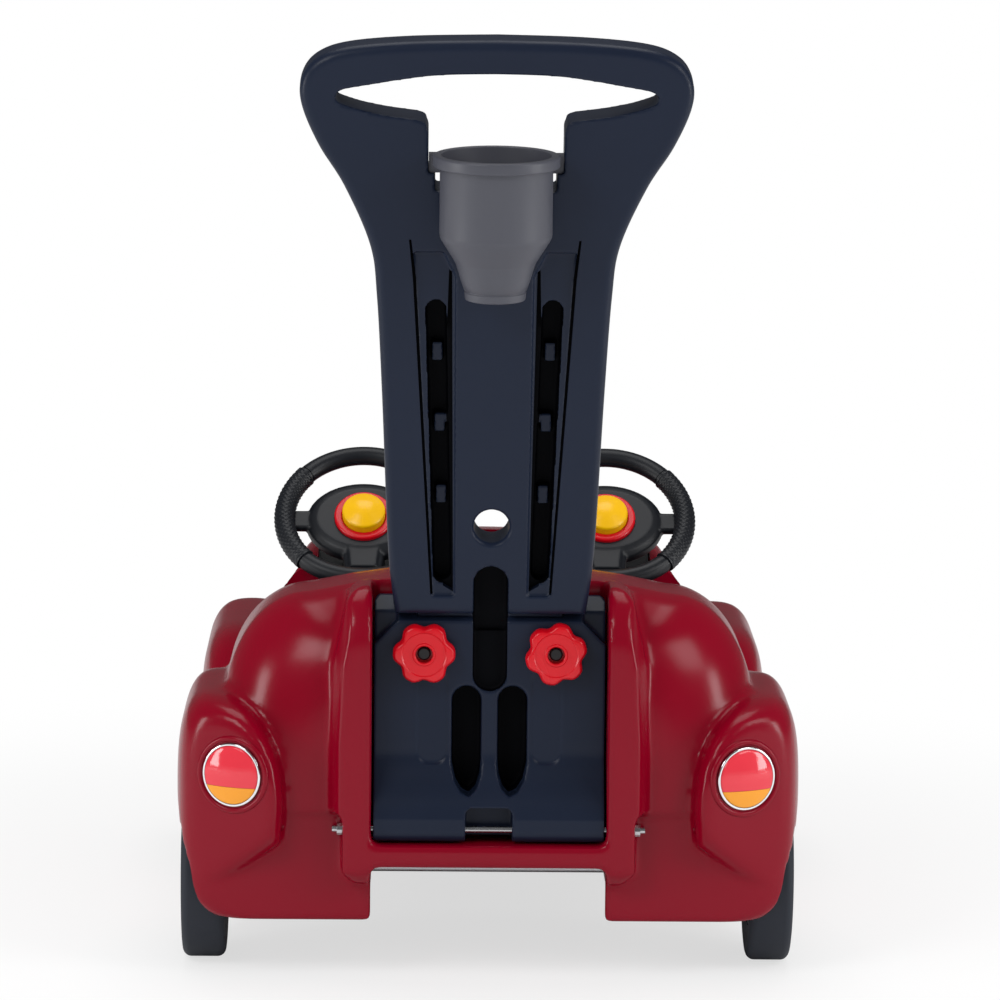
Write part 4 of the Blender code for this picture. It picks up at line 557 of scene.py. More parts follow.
def lower(name, inset):
    """The lower body: back panel, side skirts, sills and front apron. Each row holds y, the half
    width, the corner's radius, and where the top steps down towards its outer side."""
    rows = (
        (PANEL_Y + inset, 0.262, 0.040, 0.222, 0.112),
        (-0.3440 + inset, 0.274, 0.040, 0.224, 0.114),
        (-0.3390 + inset, 0.285, 0.039, 0.226, 0.116),
        (-0.3310 + inset, 0.2915, 0.038, 0.228, 0.118),
        (-0.300, 0.292, 0.038, 0.230, 0.122),
        (-0.140, 0.292, 0.038, 0.250, 0.150),
        (-0.100, 0.260, 0.016, 0.250, 0.165),
        (0.095, 0.260, 0.016, 0.250, 0.165),
        (0.130, 0.292, 0.020, 0.270, 0.165),
        (0.325, 0.292, 0.020, 0.270, 0.165),
        (0.362, 0.274, 0.020, 0.250, 0.165),
        (0.374, 0.232, 0.020, 0.210, 0.165),
        (NOSE_Y - 0.002 - 1.4 * inset, 0.172, 0.020, 0.150, 0.165),
    )
    rings = []
    for y, half, corner, step_x, step_z in rows:
        reach = half - inset
        side = [
            (step_x - inset, LOWER_TOP - inset),
            (step_x + 0.003 - inset, step_z - inset),
            (reach, step_z - 0.001 - inset),
        ]
        for step in range(9):
            angle = math.radians(90.0 * step / 8)
            side.append((reach - corner + corner * math.cos(angle),
                         SKIRT_BOTTOM + corner - corner * math.sin(angle)))
        side.append((reach - corner - 0.001, HOLLOW_BOTTOM if inset else SKIRT_BOTTOM))
        rings.append([(x, y, z) for x, z in side] + [(-x, y, z) for x, z in reversed(side)])
    return rings_to_solid(name, rings)


def pod(name, side, middle, reaches, ends, degrees, inset, fine):
    """A fender: a squared oval that swells from the lamp's face to its full size and falls away."""
    outer, inner, rise, drop = (reach - inset for reach in reaches)
    ring = []
    steps = 48 if fine else 8
    for step in range(steps + 1):
        angle = math.radians(degrees[0] + (degrees[1] - degrees[0]) * step / steps)
        across, up = math.cos(angle), math.sin(angle)
        power = 2.0 / (SQUARE_OUTSIDE if across > 0.0 else SQUARE_INSIDE)
        x = (outer if across > 0.0 else inner) * math.copysign(abs(across) ** power, across)
        z = (rise if up > 0.0 else drop) * math.copysign(abs(up) ** power, up)
        ring.append((middle[0] + x, middle[1] + z))
    shares = [(step / 14.0) ** 1.8 for step in range(15)] if fine else [0.0, 0.2, 1.0]
    rings = []
    for order, (start, length, towards, centre, turn) in enumerate(ends):
        for share in (shares[::-1] if order else shares):
            swell = (1.0 - (1.0 - share) ** 3) ** (1.0 / 3.0)
            scale = centre[2] + (1.0 - centre[2]) * swell
            y = start + towards * (inset + share * (length - inset))
            slope = towards * math.tan(math.radians(turn)) * (1.0 - share)
            rings.append([
                (side * (centre[0] + scale * (x - centre[0])),
                 y + slope * scale * (x - centre[0]),
                 centre[1] + scale * (z - centre[1]))
                for x, z in ring])
    return rings_to_solid(name, rings)


def weld_pods(item, inset, fine):
    for side in BOTH:
        for settings in (REAR_POD, FRONT_POD):
            weld(item, pod("pod", side, *settings, inset, fine))


def lamp_frame(side, face, turn, facing):
    """Local z points out of the lamp, from the bottom of its recess."""
    angle = math.radians(turn)
    along = Vector((side * math.sin(angle), facing * math.cos(angle), 0.0))
    across = (math.cos(angle), -facing * side * math.sin(angle), 0.0)
    return frame_at(Vector((side * face[0], *face[1:])) - along * LAMP_SINK, across, along)


def tail_lamp(side):
    return lamp_frame(side, TAIL_LAMP, TAIL_TURN, -1.0)


def head_lamp(side):
    return lamp_frame(side, HEAD_LAMP, HEAD_TURN, 1.0)


print("rough forms of the body ready")

# %% Rails of the channel at the back
CHANNEL_HALF = 0.1132
CHANNEL_FLOOR = 0.1345
CHANNEL_FRONT = -0.2950
RAIL_WIDTH = 0.0410
RAIL_TOP = 0.388
RAIL_ROUND = 0.062


def rails(name):
    """The two rails beside the handle's base, with the wall and the bar between them."""
    half = CHANNEL_HALF + RAIL_WIDTH
    side = [(0.0, 0.075), (half, 0.075), (half, 0.230), (half - 0.004, 0.310)]
    side += arc((half - 0.035, 0.362), 0.020, 0.0, 90.0, 8)
    side.append((0.0, 0.382))
    loop = mirrored_loop(side)
    narrow = [(x * (1.0 - 0.011 / half), z) for x, z in loop]
    rings = [[(x, y, z) for x, z in points] for points, y in (
        (narrow, -0.3730), (loop, -0.3520), (loop, CHANNEL_FRONT + 0.006))]
    item = rings_to_solid(name, rings)
    profile = [(-0.289, 0.095), (-0.362, 0.095), (-0.372, 0.107)]
    profile += arc((-0.310, RAIL_TOP - RAIL_ROUND), RAIL_ROUND, 180.0, 90.0, 12)
    profile.append((-0.289, RAIL_TOP))
    past = half + 0.01
    combine(item, "INTERSECT", prism("side_guide", profile, -past, past, "X"))
    low = CHANNEL_HALF + 0.0275
    step = [(low, 0.1635), (low, 0.106), (low - 0.011, 0.094), (past, 0.094), (past, 0.1635)]
    for sign in BOTH:
        cut(item, prism("step_guide", on_side(sign, step), -0.450, PANEL_Y + 0.002, "Y"))
    return item


print("rails ready")

# %% Join, melt and hollow the body
SKIN_SQUARE = 0.0036
SKIN_ROUNDS = 7
REAR_WHEEL = (-0.2350, 0.0850)
FRONT_ARCH = (0.2460, 0.0460)
# Each arch: how far out its cut starts, its middle and its radius.
ROUGH_ARCHES = ((0.2460, *REAR_WHEEL, 0.0995), (0.2640, *FRONT_ARCH, 0.0880))
CRISP_ARCHES = ((0.2455, *REAR_WHEEL, 0.1030), (0.2635, *FRONT_ARCH, 0.0915))
# Round each lamp, tail lamp first: the radii of the raised ring and of the recess.
RAISED_RINGS = (0.0352, 0.0425)
RECESSES = (0.0313, 0.0383)
RING_LEVEL = 0.0052
RING_TUBE = 0.0030
HINGE = (-0.3535, 0.1480)
KNOB_X = 0.0633
KNOB_Z = 0.3185


def cockpit_outline():
    half = [(0.0, -0.188)]
    half += arc((0.195, -0.158), 0.030, -90.0, 0.0, 8) + arc((0.195, 0.120), 0.030, 0.0, 90.0, 8)
    return mirrored_loop(half + [(0.175, 0.150), (0.175, 0.215), (0.0, 0.215)])


def cut_arches(item, side, arches, steps):
    for x, y, z, radius in arches:
        cut(item, rod("arch", (side * x, y, z), (side, 0.0, 0.0), 0.1, radius, steps))


def body_core():
    """The outside of the body as one solid, with its openings sunk into it and its edges melted."""
    item = tub("red_body", 0.0, True)
    weld(item, lower("lower_guide", 0.0))
    weld_pods(item, 0.0, True)
    weld(item, rails("rail_guide"))
    width = (-CHANNEL_HALF, CHANNEL_HALF)
    cut(item, block("channel", width, (-0.45, CHANNEL_FRONT), (CHANNEL_FLOOR, 0.45)))
    cut(item, block("under", width, (-0.45, -0.20), (-0.02, 0.1125)))
    grille = rounded_rectangle((-0.095, 0.125), (0.095, 0.205), 0.020)
    cut(item, prism("grille", grille, 0.365, 0.405, "Y"))
    for side in BOTH:
        cut_arches(item, side, ROUGH_ARCHES, 48)
    return melt(item, SKIN_SQUARE, SKIN_ROUNDS)


def body_hollow():
    """What is scooped out of the body from below: its own forms, one wall's thickness smaller."""
    item = tub("hollow", WALL, False)
    weld(item, lower("lower_hollow", WALL))
    weld_pods(item, WALL, False)
    cut(item, rails("rail_wall"))
    for x_range in ((-0.257, -0.165), (0.165, 0.257)):
        cut(item, block("cowl_wall", x_range, (0.146, 0.156), (0.200, 0.352)))
    for side in BOTH:
        for place, radius in ((tail_lamp(side), 0.033), (head_lamp(side), 0.040)):
            cut(item, disc("backing", radius, -0.005, 0.010, place, 32))
    return item


def red_body():
    item = body_core()
    print("skin squares", len(item.data.polygons))
    cut(item, body_hollow())
    cut(item, prism("cockpit", cockpit_outline(), 0.120, 0.450, "Z"))
    for side in BOTH:
        lamps = (tail_lamp(side), head_lamp(side))
        for place, radius in zip(lamps, RAISED_RINGS):
            ring = arc((radius, RING_LEVEL), RING_TUBE, 0.0, 345.0, 16)
            weld(item, spun("raised_ring", ring, place, 96))
        for place, radius in zip(lamps, RECESSES):
            cut(item, disc("recess", radius, 0.0, 0.04, place))
        cut_arches(item, side, CRISP_ARCHES, 96)
        cut(item, rod("bolt_hole", (side * KNOB_X, -0.305, KNOB_Z), FORWARD, 0.03, 0.004, 24))
    return cut(item, rod("hinge_hole", (-0.2, *HINGE), ACROSS, 0.4, 0.0035, 24))


print("body helpers ready")

# %% [markdown]
# ## The push handle
# The handle is a thick plate that leans back, broad at its grip and narrow at its foot, with a
# flat panel down its middle and a deep slot on each side. It is drawn flat in its own leaning
# plane and given its thickness, the grooves and slots are sunk with boolean modifiers, and the
# same melting as on the body gives every edge the small radius that catches the light. The thin
# lines beside the grooves are cut last, because melting would blur them.

# %% Draw the handle
LEAN = math.radians(12.0)
FOOT_Y = -0.3450
FOOT_Z = 0.3450
HANDLE_DEPTH = 0.0360
CLEAR = 0.010
MIDDLE_SLOT_HALF = 0.0165


def on_handle(x, s, depth):
    """A place on the handle: x across, s up along its lean, depth forward from its back face."""
    y = FOOT_Y - s * math.sin(LEAN) + depth * math.cos(LEAN)
    return (x, y, FOOT_Z + s * math.cos(LEAN) + depth * math.sin(LEAN))


def signed_area(loop):
    return 0.5 * sum(a[0] * b[1] - b[0] * a[1] for a, b in zip(loop, loop[1:] + loop[:1]))


def inset_loop(loop, distance):
    """Move each point of a loop to its left, with mitred corners."""
    result = []
    for before, here, after in zip(loop[-1:] + loop[:-1], loop, loop[1:] + loop[:1]):
        first = Vector((here[0] - before[0], here[1] - before[1])).normalized()
        second = Vector((after[0] - here[0], after[1] - here[1])).normalized()
        side = Vector((-first.y - second.y, first.x + second.x)).normalized()
        reach = max(0.5, side.dot(Vector((-first.y, first.x))))
        result.append((here[0] + side.x * distance / reach, here[1] + side.y * distance / reach))
    return result


def plate(name, outline, layers, place):
    """A plate of an outline in layers of (depth, inset), so that its edges come out round."""
    loop = outline if signed_area(outline) > 0 else outline[::-1]
    rings = [[place(x, y, depth) for x, y in inset_loop(loop, inset)] for depth, inset in layers]
    return rings_to_solid(name, rings)


def round_edge(depth, radius, steps):
    layers = []
    for step in range(steps + 1):
        angle = 0.5 * math.pi * step / steps
        layers.append((radius * (1.0 - math.cos(angle)), radius * (1.0 - math.sin(angle))))
    return layers + [(depth - low, inset) for low, inset in reversed(layers)]


def handle_outline():
    shoulder = [
        (0.0915, 0.0100), (0.0985, 0.075), (0.1051, 0.230), (0.1104, 0.329), (0.1170, 0.380),
        (0.1409, 0.437), (0.1650, 0.477), (0.1805, 0.514), (0.1815, 0.539), (0.1690, 0.559),
        (0.1400, 0.571), (0.0800, 0.577), (0.0, 0.5790)]
    return mirrored_loop([(0.0, 0.0100)] + smooth_through(shoulder, 10))


def grip_opening():
    """The long opening under the grip bar, with a square notch below it for the cup holder."""
    edge = smooth_through([
        (0.0, 0.548), (0.060, 0.546), (0.112, 0.538), (0.143, 0.532), (0.1495, 0.525),
        (0.143, 0.518), (0.110, 0.509), (0.074, 0.504)], 8)
    notch = [
        (0.0660, 0.501), (0.0630, 0.492), (0.0630, 0.452), (0.0565, 0.452), (0.0565, 0.435),
        (0.0, 0.435)]
    return mirrored_loop(edge + notch)


def slot_outline(top, bottom, top_half, bottom_half, top_x, bottom_x):
    points = arc((top_x, top - top_half), top_half, 0.0, 180.0, 16)
    return points + arc((bottom_x, bottom + bottom_half), bottom_half, 180.0, 360.0, 16)


def middle_slot(top, bottom):
    return slot_outline(top, bottom, MIDDLE_SLOT_HALF, MIDDLE_SLOT_HALF, 0.0, 0.0)


def handle_guide(name, outline, low, high):
    return rings_to_solid(name, [[on_handle(x, s, level) for x, s in outline] for level in (low, high)])


def handle_block(name, x_range, s_range, depth_range):
    """A block that stands square to the leaning handle."""
    corners = rectangle((x_range[0], depth_range[0]), (x_range[1], depth_range[1]))
    return rings_to_solid(name, [[on_handle(x, s, depth) for x, depth in corners] for s in s_range])


def sink(item, outline, depth, side=1.0):
    """Cut an outline into the handle's back face."""
    return cut(item, handle_guide("sunk", on_side(side, outline), -CLEAR, depth))


print("handle helpers ready")

# %% Cut and melt the handle
EYE_S = 0.1010
EYE_RADIUS = 0.0170
EYE_EDGE = EYE_RADIUS + 0.0022
RIB_PLACES = (0.2735, 0.2025, 0.1300)
RIB_HALF = (0.005, 0.009)
CUP_SPOT = (0.0, -0.4620, 0.8075)
CUP_LEAN = math.radians(4.0)
CUP_GAP = 0.004
GROOVE = (
    (0.0345, 0.030), (0.0565, 0.030), (0.0750, 0.352), (0.0768, 0.376), (0.0480, 0.376),
    (0.0365, 0.352))
OUTER_LINE = (
    (0.0556, 0.032), (0.0580, 0.032), (0.0768, 0.350), (0.0806, 0.388), (0.0784, 0.388),
    (0.0738, 0.350))
INNER_LINE = (
    (0.0362, 0.034), (0.0460, 0.040), (0.0475, 0.190), (0.0428, 0.358), (0.0400, 0.356))


def cup_frame():
    return frame_at(CUP_SPOT, ACROSS, (0.0, -math.sin(CUP_LEAN), math.cos(CUP_LEAN)))


def cup_room():
    """The room that the handle leaves for the cup holder, with a gap around it."""
    outside = [
        (0.026, -0.136 - CUP_GAP), (0.0265, -0.128), (0.030, -0.114), (0.0475, -0.094),
        (0.052, -0.082), (0.0525, -0.011)]
    room = [(radius + CUP_GAP, height) for radius, height in outside]
    room = [(0.0, room[0][1])] + room + [(room[-1][0], 0.010), (0.0, 0.010)]
    return spun("cup_room", room, cup_frame())


def push_handle():
    edge = round_edge(HANDLE_DEPTH, 0.0085, 5)
    item = plate("push_handle_moulding", handle_outline(), edge, on_handle)
    sink(item, grip_opening(), HANDLE_DEPTH + CLEAR)
    weld(item, handle_block("tongue", (-0.07, 0.07), (0.028, -0.025), (0.016, 0.032)))
    for side in BOTH:
        sink(item, GROOVE, 0.0040, side)
        sink(item, slot_outline(0.3275, 0.0430, 0.0098, 0.0088, 0.0548, 0.0465), 0.024, side)
        for s in RIB_PLACES:
            middle = 0.0465 + (0.0095 * (s - 0.045) / 0.288) - 0.001
            rib = rectangle((middle - RIB_HALF[0], s - RIB_HALF[1]),
                            (middle + RIB_HALF[0], s + RIB_HALF[1]))
            weld(item, handle_guide("rib", on_side(side, rib), 0.0130, 0.026))
    eye = frame_at(on_handle(0.0, EYE_S, -CLEAR), ACROSS, (0.0, math.cos(LEAN), math.sin(LEAN)))
    bore = [
        (0.0, 0.0), (EYE_EDGE, 0.0), (EYE_EDGE, 0.0112), (EYE_RADIUS, 0.0132),
        (EYE_RADIUS, 0.07), (0.0, 0.07)]
    cut(item, spun("eye", bore, eye))
    sink(item, middle_slot(0.061, -0.020), 0.020)
    cut(item, cup_room())
    melt(item, 0.0016, 2)
    for side in BOTH:
        sink(item, OUTER_LINE, 0.0078, side)
        sink(item, INNER_LINE, 0.0120, side)
    return item


print("handle ready to be made")

# %% [markdown]
# ## The handle's base
# The handle stands in a base plate that is hinged to the car at its foot. The plate is a side
# view pushed across, trimmed to its outline from behind, with three blind slots and a notch that
# shows the bright hinge rod.

# %% Cut and melt the base
BASE_HALF = 0.1112
BEHIND = -0.400
SLOT_FOOT = ((0.0190, 0.181), (0.0265, 0.185), (0.0325, 0.195), (0.0362, 0.212))
SLOT_BACK = ((0.0082, 0.212), (0.0092, 0.200), (0.0130, 0.188))
RIM_FOOT = ((0.0190, 0.180), (0.0275, 0.184), (0.0335, 0.194), (0.0372, 0.211))
RIM_BACK = ((0.0067, 0.211), (0.0082, 0.199), (0.0120, 0.187))


def base_side_view():
    profile = [(-0.300, 0.369), (-0.308, 0.369), (-0.338, 0.348)]
    profile += smooth_through([
        (-0.338, 0.230), (-0.3385, 0.214), (-0.3450, 0.198), (-0.3600, 0.176), (-0.3655, 0.160)], 6)
    profile += arc(HINGE, 0.012, 180.0, 320.0, 10)
    return profile + [(-0.320, 0.150), (-0.300, 0.170)]


def sink_base(item, outline, front, side=1.0):
    """Cut an outline into the base from behind, as far forward as front."""
    return cut(item, prism("sunk", on_side(side, outline), BEHIND, front, "Y"))


def base_slot(foot, back, radius):
    return [*foot, *arc((0.0222, 0.271), radius, 0.0, 180.0, 16), *back]


def handle_base():
    item = prism("handle_base_moulding", base_side_view(), -BASE_HALF, BASE_HALF, "X")
    half = BASE_HALF + 0.002
    outline = [(0.0, CHANNEL_FLOOR), (half, CHANNEL_FLOOR)]
    outline += arc((0.0993, 0.3570), 0.0139, 0.0, 90.0, 8) + [(0.0, 0.371)]
    combine(item, "INTERSECT", prism("outline", mirrored_loop(outline), BEHIND, -0.280, "Y"))
    for side in BOTH:
        ear = [(0.089, 0.348), (0.1312, 0.3058), (0.1312, 0.400), (0.089, 0.400)]
        sink_base(item, ear, -0.326, side)
    cut(item, handle_block("handle_room", (-0.092, 0.092), (0.0097, 0.200), (-0.03, 0.08)))
    tongue = (-0.0703, 0.0703)
    cut(item, handle_block("tongue_room", tongue, (0.020, -0.0253), (0.0157, 0.0323)))
    sink_base(item, middle_slot(0.400, 0.2800), -0.328)
    for side in BOTH:
        sink_base(item, base_slot(SLOT_FOOT, SLOT_BACK, 0.014), -0.314, side)
        sink_base(item, base_slot(RIM_FOOT, RIM_BACK, 0.0155), -0.3365, side)
        panel = rounded_rectangle((0.0400, 0.209), (0.0700, 0.300), 0.012)
        sink_base(item, panel, -0.3373, side)
        cut(item, rod("bolt_room", (side * KNOB_X, -0.348, KNOB_Z), FORWARD, 0.08, 0.0032, 24))
    notch = rounded_rectangle((-0.0225, 0.100), (0.0225, 0.170), 0.006)
    sink_base(item, notch, HINGE[0] + 0.009)
    cut(item, rod("rod_room", (-0.2, *HINGE), ACROSS, 0.4, 0.0038, 32))
    return melt(item, 0.0014, 2)


print("base ready to be made")

# %% [markdown]
# ## Knobs and cup holder
# Each clamp knob has six blunt lobes with hollows between them and a round well in its face. The
# cup holder is turned: a straight body that narrows to a foot, with a broad flange at its rim.

# %% Turn the knobs and the cup
KNOB_BACK = -0.3383
KNOB_THICKNESS = 0.0180
KNOB_RADIUS = 0.0300
KNOB_HOLLOW = 0.0047
KNOB_EDGE = 0.0032
KNOB_POINTS = 216
RIGHT_KNOB_TURN = 17.0


def knob(word, side):
    turn = 0.0 if side < 0 else math.radians(RIGHT_KNOB_TURN)
    outline = []
    for step in range(KNOB_POINTS):
        angle = 2.0 * math.pi * step / KNOB_POINTS
        hollow = (0.5 - 0.5 * math.cos(6.0 * angle)) ** 1.7
        radius = KNOB_RADIUS - KNOB_HOLLOW * hollow
        outline.append((radius * math.cos(angle + turn), radius * math.sin(angle + turn)))
    place = frame_at((side * KNOB_X, KNOB_BACK, KNOB_Z), ACROSS, (0.0, -1.0, 0.0))
    top = KNOB_THICKNESS
    layers = round_edge(top, KNOB_EDGE, 5)[:6] + [(top - 0.0050, 0.0), (top - 0.0042, 0.0005)]
    for step in range(1, 7):
        angle = 0.5 * math.pi * step / 6
        layers.append((top - KNOB_EDGE + KNOB_EDGE * math.sin(angle),
                       0.0009 + 0.0030 * (1.0 - math.cos(angle))))
    item = plate("knob_moulding_" + word, outline, layers, place)
    dish = [
        (0.0, top - 0.0011), (0.0205, top - 0.0011), (0.0222, top + 0.0004),
        (0.0222, top + 0.01), (0.0, top + 0.01)]
    cut(item, spun("dish", dish, place, 96))
    rim = [
        (0.0, top - 0.004), (0.0112, top - 0.004), (0.0112, top - 0.0008), (0.0104, top),
        (0.0, top)]
    weld(item, spun("rim", rim, place))
    well = [
        (0.0, 0.007), (0.0083, 0.007), (0.0083, top - 0.0008), (0.0092, top + 0.0001),
        (0.0092, 0.03), (0.0, 0.03)]
    cut(item, spun("well", well, place))
    return cut(item, disc("hole", 0.0033, -0.01, 0.03, place, 32))


def cup_holder():
    outside = [
        (0.0, -0.1360), (0.0268, -0.1360), (0.0281, -0.1352), (0.0284, -0.1338),
        (0.0289, -0.1286), (0.0284, -0.1280), (0.0284, -0.1272), (0.0292, -0.1266),
        (0.0322, -0.1180), (0.0372, -0.1015), (0.0380, -0.1000), (0.0505, -0.0800),
        (0.0520, -0.0770), (0.0525, -0.0735)]
    rim = [(0.0525, -0.0125), (0.0531, -0.0112), (0.0545, -0.0110)]
    rim += arc((0.0572, -0.0092), 0.0018, -90.0, 0.0, 5)
    rim += arc((0.0570, -0.0020), 0.0020, 0.0, 90.0, 6)
    rim += arc((0.0522, -0.0012), 0.0012, 90.0, 180.0, 5)
    inside = [
        (0.0498, -0.0740), (0.0480, -0.0800), (0.0352, -0.1010), (0.0297, -0.1180),
        (0.0262, -0.1290)]
    inside += arc((0.0232, -0.1305), 0.0030, 0.0, -90.0, 5) + [(0.0, -0.1335)]
    item = spun("cup_moulding", outside + rim + inside, cup_frame(), 128)
    room = [(0.0, -0.1), (0.0505, -0.1), (0.0512, 0.01), (0.0, 0.01)]
    for side in BOTH:
        reach = (side * 0.0446, side * 0.0627)
        lug = handle_block("lug", reach, (0.4523, 0.4700), (0.004, 0.012))
        weld(item, cut(lug, spun("room", room, cup_frame(), 96)))
    return item


print("knob and cup helpers ready")

# %% [markdown]
# ## Steering wheels
# Each wheel is a tube that runs round the column's axis. Its two grips are thicker and covered
# in rows of small dots between two seams. The hub is a stepped oval plate on three spokes, and
# on it sits a red ring with a yellow horn button inside.

# %% Wind the steering wheels
STEER_SPOT = (0.1270, 0.1400, 0.3745)
STEER_TILT = math.radians(46.0)
WHEEL_MIDDLE = 0.0829
HUB_TOP = 0.0020
HUB_LAYERS = ((-0.018, 0.010), (-0.012, 0.0), (-0.004, 0.001), (0.0, 0.006), (HUB_TOP, 0.012))
OVAL_STEPS = 72
SPOKE_LOW = -0.0105
SPOKE_HIGH = -0.0015
TUBE_POINTS = 60
PLAIN_TUBE = 0.0098
GRIP_TUBE = 0.0107
COLLAR_TUBE = 0.0112
SEAM_DEPTH = 0.0008
DOT_HEIGHT = 0.0006
DOTS_ROUND = 100
DOTS_ACROSS = 15


def steer_frame(side):
    along = (0.0, -math.cos(STEER_TILT), math.sin(STEER_TILT))
    return frame_at((side * STEER_SPOT[0], *STEER_SPOT[1:]), ACROSS, along)


def tube_radius(angle, turn):
    """The thickness of the tube: plain between the grips, dotted on them, pinched at the seams."""
    reach = abs(math.degrees(math.asin(math.sin(angle))))
    if reach > 44.0:
        return PLAIN_TUBE
    if reach > 42.4:
        return PLAIN_TUBE - SEAM_DEPTH
    dot = max(0.0, math.cos(DOTS_ROUND * angle) * math.cos(DOTS_ACROSS * turn))
    return GRIP_TUBE + DOT_HEIGHT * dot if reach < 40.6 else COLLAR_TUBE


def rim_angles():
    """Angles of the tube's rings: close on the two grips, closer at their seams, wide between."""
    angles = []
    for middle in (0.0, 180.0):
        angles += [middle - 42.0 + 84.0 * step / 186 for step in range(187)]
        angles += [middle + 42.5, middle + 43.9, middle + 44.1]
        angles += [middle + 46.0 + 88.0 * step / 36 for step in range(37)]
        angles += [middle + 135.9, middle + 136.1, middle + 137.5]
    return [math.radians(angle) for angle in angles]


def wheel_tube(name, place):
    rings = []
    for angle in rim_angles():
        radius = WHEEL_MIDDLE - 0.006 * max(0.0, -math.sin(angle)) ** 4
        ring = []
        for part in range(TUBE_POINTS):
            turn = 2.0 * math.pi * part / TUBE_POINTS
            tube = tube_radius(angle, turn)
            reach = radius + tube * math.cos(turn)
            ring.append(place(reach * math.cos(angle), reach * math.sin(angle), tube * math.sin(turn)))
        rings.append(ring)
    return rings_to_solid(name, rings, True)


def oval(half_wide, half_tall):
    turns = [2.0 * math.pi * step / OVAL_STEPS for step in range(OVAL_STEPS)]
    return [(half_wide * math.cos(turn), half_tall * math.sin(turn)) for turn in turns]


def taper(low_half, low, high_half, high):
    return [(-low_half, low), (low_half, low), (high_half, high), (-high_half, high)]


def steering_wheel(word, side):
    place = steer_frame(side)
    item = plate("wheel_moulding_" + word, oval(0.0610, 0.0500), HUB_LAYERS, place)
    low, high = SPOKE_LOW, SPOKE_HIGH
    layers = [(low, 0.002), (low + 0.002, 0.0), (high - 0.002, 0.0), (high, 0.002)]
    weld(item, plate("cross", taper(0.0780, -0.012, 0.0780, 0.012), layers, place))
    weld(item, plate("foot", taper(0.018, -0.0760, 0.024, -0.020), layers, place))
    layers = [(low, 0.0), (high + 0.002, 0.0), (high + 0.003, 0.001)]
    weld(item, plate("step", taper(0.014, -0.0640, 0.019, -0.020), layers, place))
    melt(item, 0.0014, 3)
    weld(item, wheel_tube("tube", place))
    cut(item, disc("ring_room", 0.0311, HUB_TOP - 0.003, 0.1, place, 96))
    return cut(item, disc("well", 0.016, HUB_TOP - 0.013, 0.1, place))


def horn_ring(word, side):
    base = HUB_TOP - 0.0027
    profile = [(0.0228, base), (0.0308, base)]
    profile += arc((0.0286, base + 0.0048), 0.0022, 0.0, 90.0, 6)
    profile += arc((0.0243, base + 0.0055), 0.0015, 90.0, 180.0, 5)
    return spun("ring_moulding_" + word, profile, steer_frame(side), 96)


def horn_button(word, side):
    base = HUB_TOP + 0.0016
    profile = [
        (0.0, base - 0.002), (0.0125, base - 0.002), (0.0125, base), (0.0225, base),
        (0.0225, base + 0.0088)]
    profile += arc((0.0193, base + 0.0088), 0.0032, 0.0, 62.0, 7)[1:]
    profile += [
        (0.0170, base + 0.0128), (0.0120, base + 0.0152), (0.0060, base + 0.0170),
        (0.0, base + 0.0175)]
    return spun("button_moulding_" + word, profile, steer_frame(side), 96)


print("steering helpers ready")

# %% [markdown]
# ## Lamps and wheels
# A tail lamp is one domed disc, split along a level line into a red and an amber piece. The
# tyres are turned with a plain tread, rounded shoulders and a thin line round each side.

# %% Turn the lamps and the wheels
LAMP_FRONT = 0.0090
LENS_EDGE = 0.0022
LENS_REACH = 0.05
LENS_SPAN = 0.06
TAIL_LENS = 0.0285
TAIL_RING = 0.0310
TAIL_RISE = 0.0040
RED_LOW = -0.01085
AMBER_HIGH = -0.01115
HEAD_LENS = 0.0340
HEAD_RING = 0.0380
HEAD_RISE = 0.0085
SEAT_GAP = 0.0003


def lens(name, place, radius, low, high, rise):
    """A domed lens, kept only between two levels across its face."""
    profile = [(0.0, SEAT_GAP), (radius, SEAT_GAP), (radius, LAMP_FRONT - 0.001)]
    profile += arc((radius - LENS_EDGE, LAMP_FRONT - 0.001), LENS_EDGE, 0.0, 70.0, 5)[1:]
    top = LAMP_FRONT + 0.0012
    for step in range(1, 9):
        share = step / 8
        height = top + rise * (1.0 - (1.0 - share) ** 2)
        profile.append(((radius - LENS_EDGE) * (1.0 - share), height))
    item = spun(name, profile, place, 96)
    span = rectangle((-LENS_SPAN, low), (LENS_SPAN, high))
    return combine(item, "INTERSECT", plate("span", span, ((-0.02, 0.0), (0.06, 0.0)), place))


def bezel(name, place, outer, inner):
    seat = inner + SEAT_GAP
    profile = [(seat, SEAT_GAP), (outer, SEAT_GAP), (outer, LAMP_FRONT - 0.0016)]
    profile += arc((outer - 0.0012, LAMP_FRONT - 0.0013), 0.0012, 0.0, 90.0, 5)
    return spun(name, profile + [(seat, LAMP_FRONT - 0.0002)], place, 96)


def tyre(name, place, radius, inner, width, edge):
    near = [
        (inner, 0.0020), (inner + 0.006, 0.0012), (radius - 0.020, 0.0),
        (radius - 0.018, 0.0006), (radius - 0.016, 0.0)]
    profile = near + [(radius - edge, 0.0)]
    profile += [(a, b) for b, a in arc((edge, radius - edge), edge, 180.0, 90.0, 6)]
    profile += [(a, b) for b, a in arc((width - edge, radius - edge), edge, 90.0, 0.0, 6)]
    profile += [(radius - edge, width)] + [(reach, width - depth) for reach, depth in reversed(near)]
    return spun(name, profile, place, 128)


def rear_frame(side):
    return frame_at((side * 0.2560, *REAR_WHEEL), FORWARD, (side, 0.0, 0.0))


def caster_frame(side):
    return frame_at((side * 0.2050 - 0.017, 0.2200, 0.0525), FORWARD, ACROSS)


def paint_slot_shade(item, inside):
    """Paint the faces that lie deep in a slot with the near-black of painted shade."""
    item.data.materials.append(finishes["painted_slot_shade"])
    for face in item.data.polygons:
        if inside(face.center - OWN_ZERO):
            face.material_index = 1
    return item


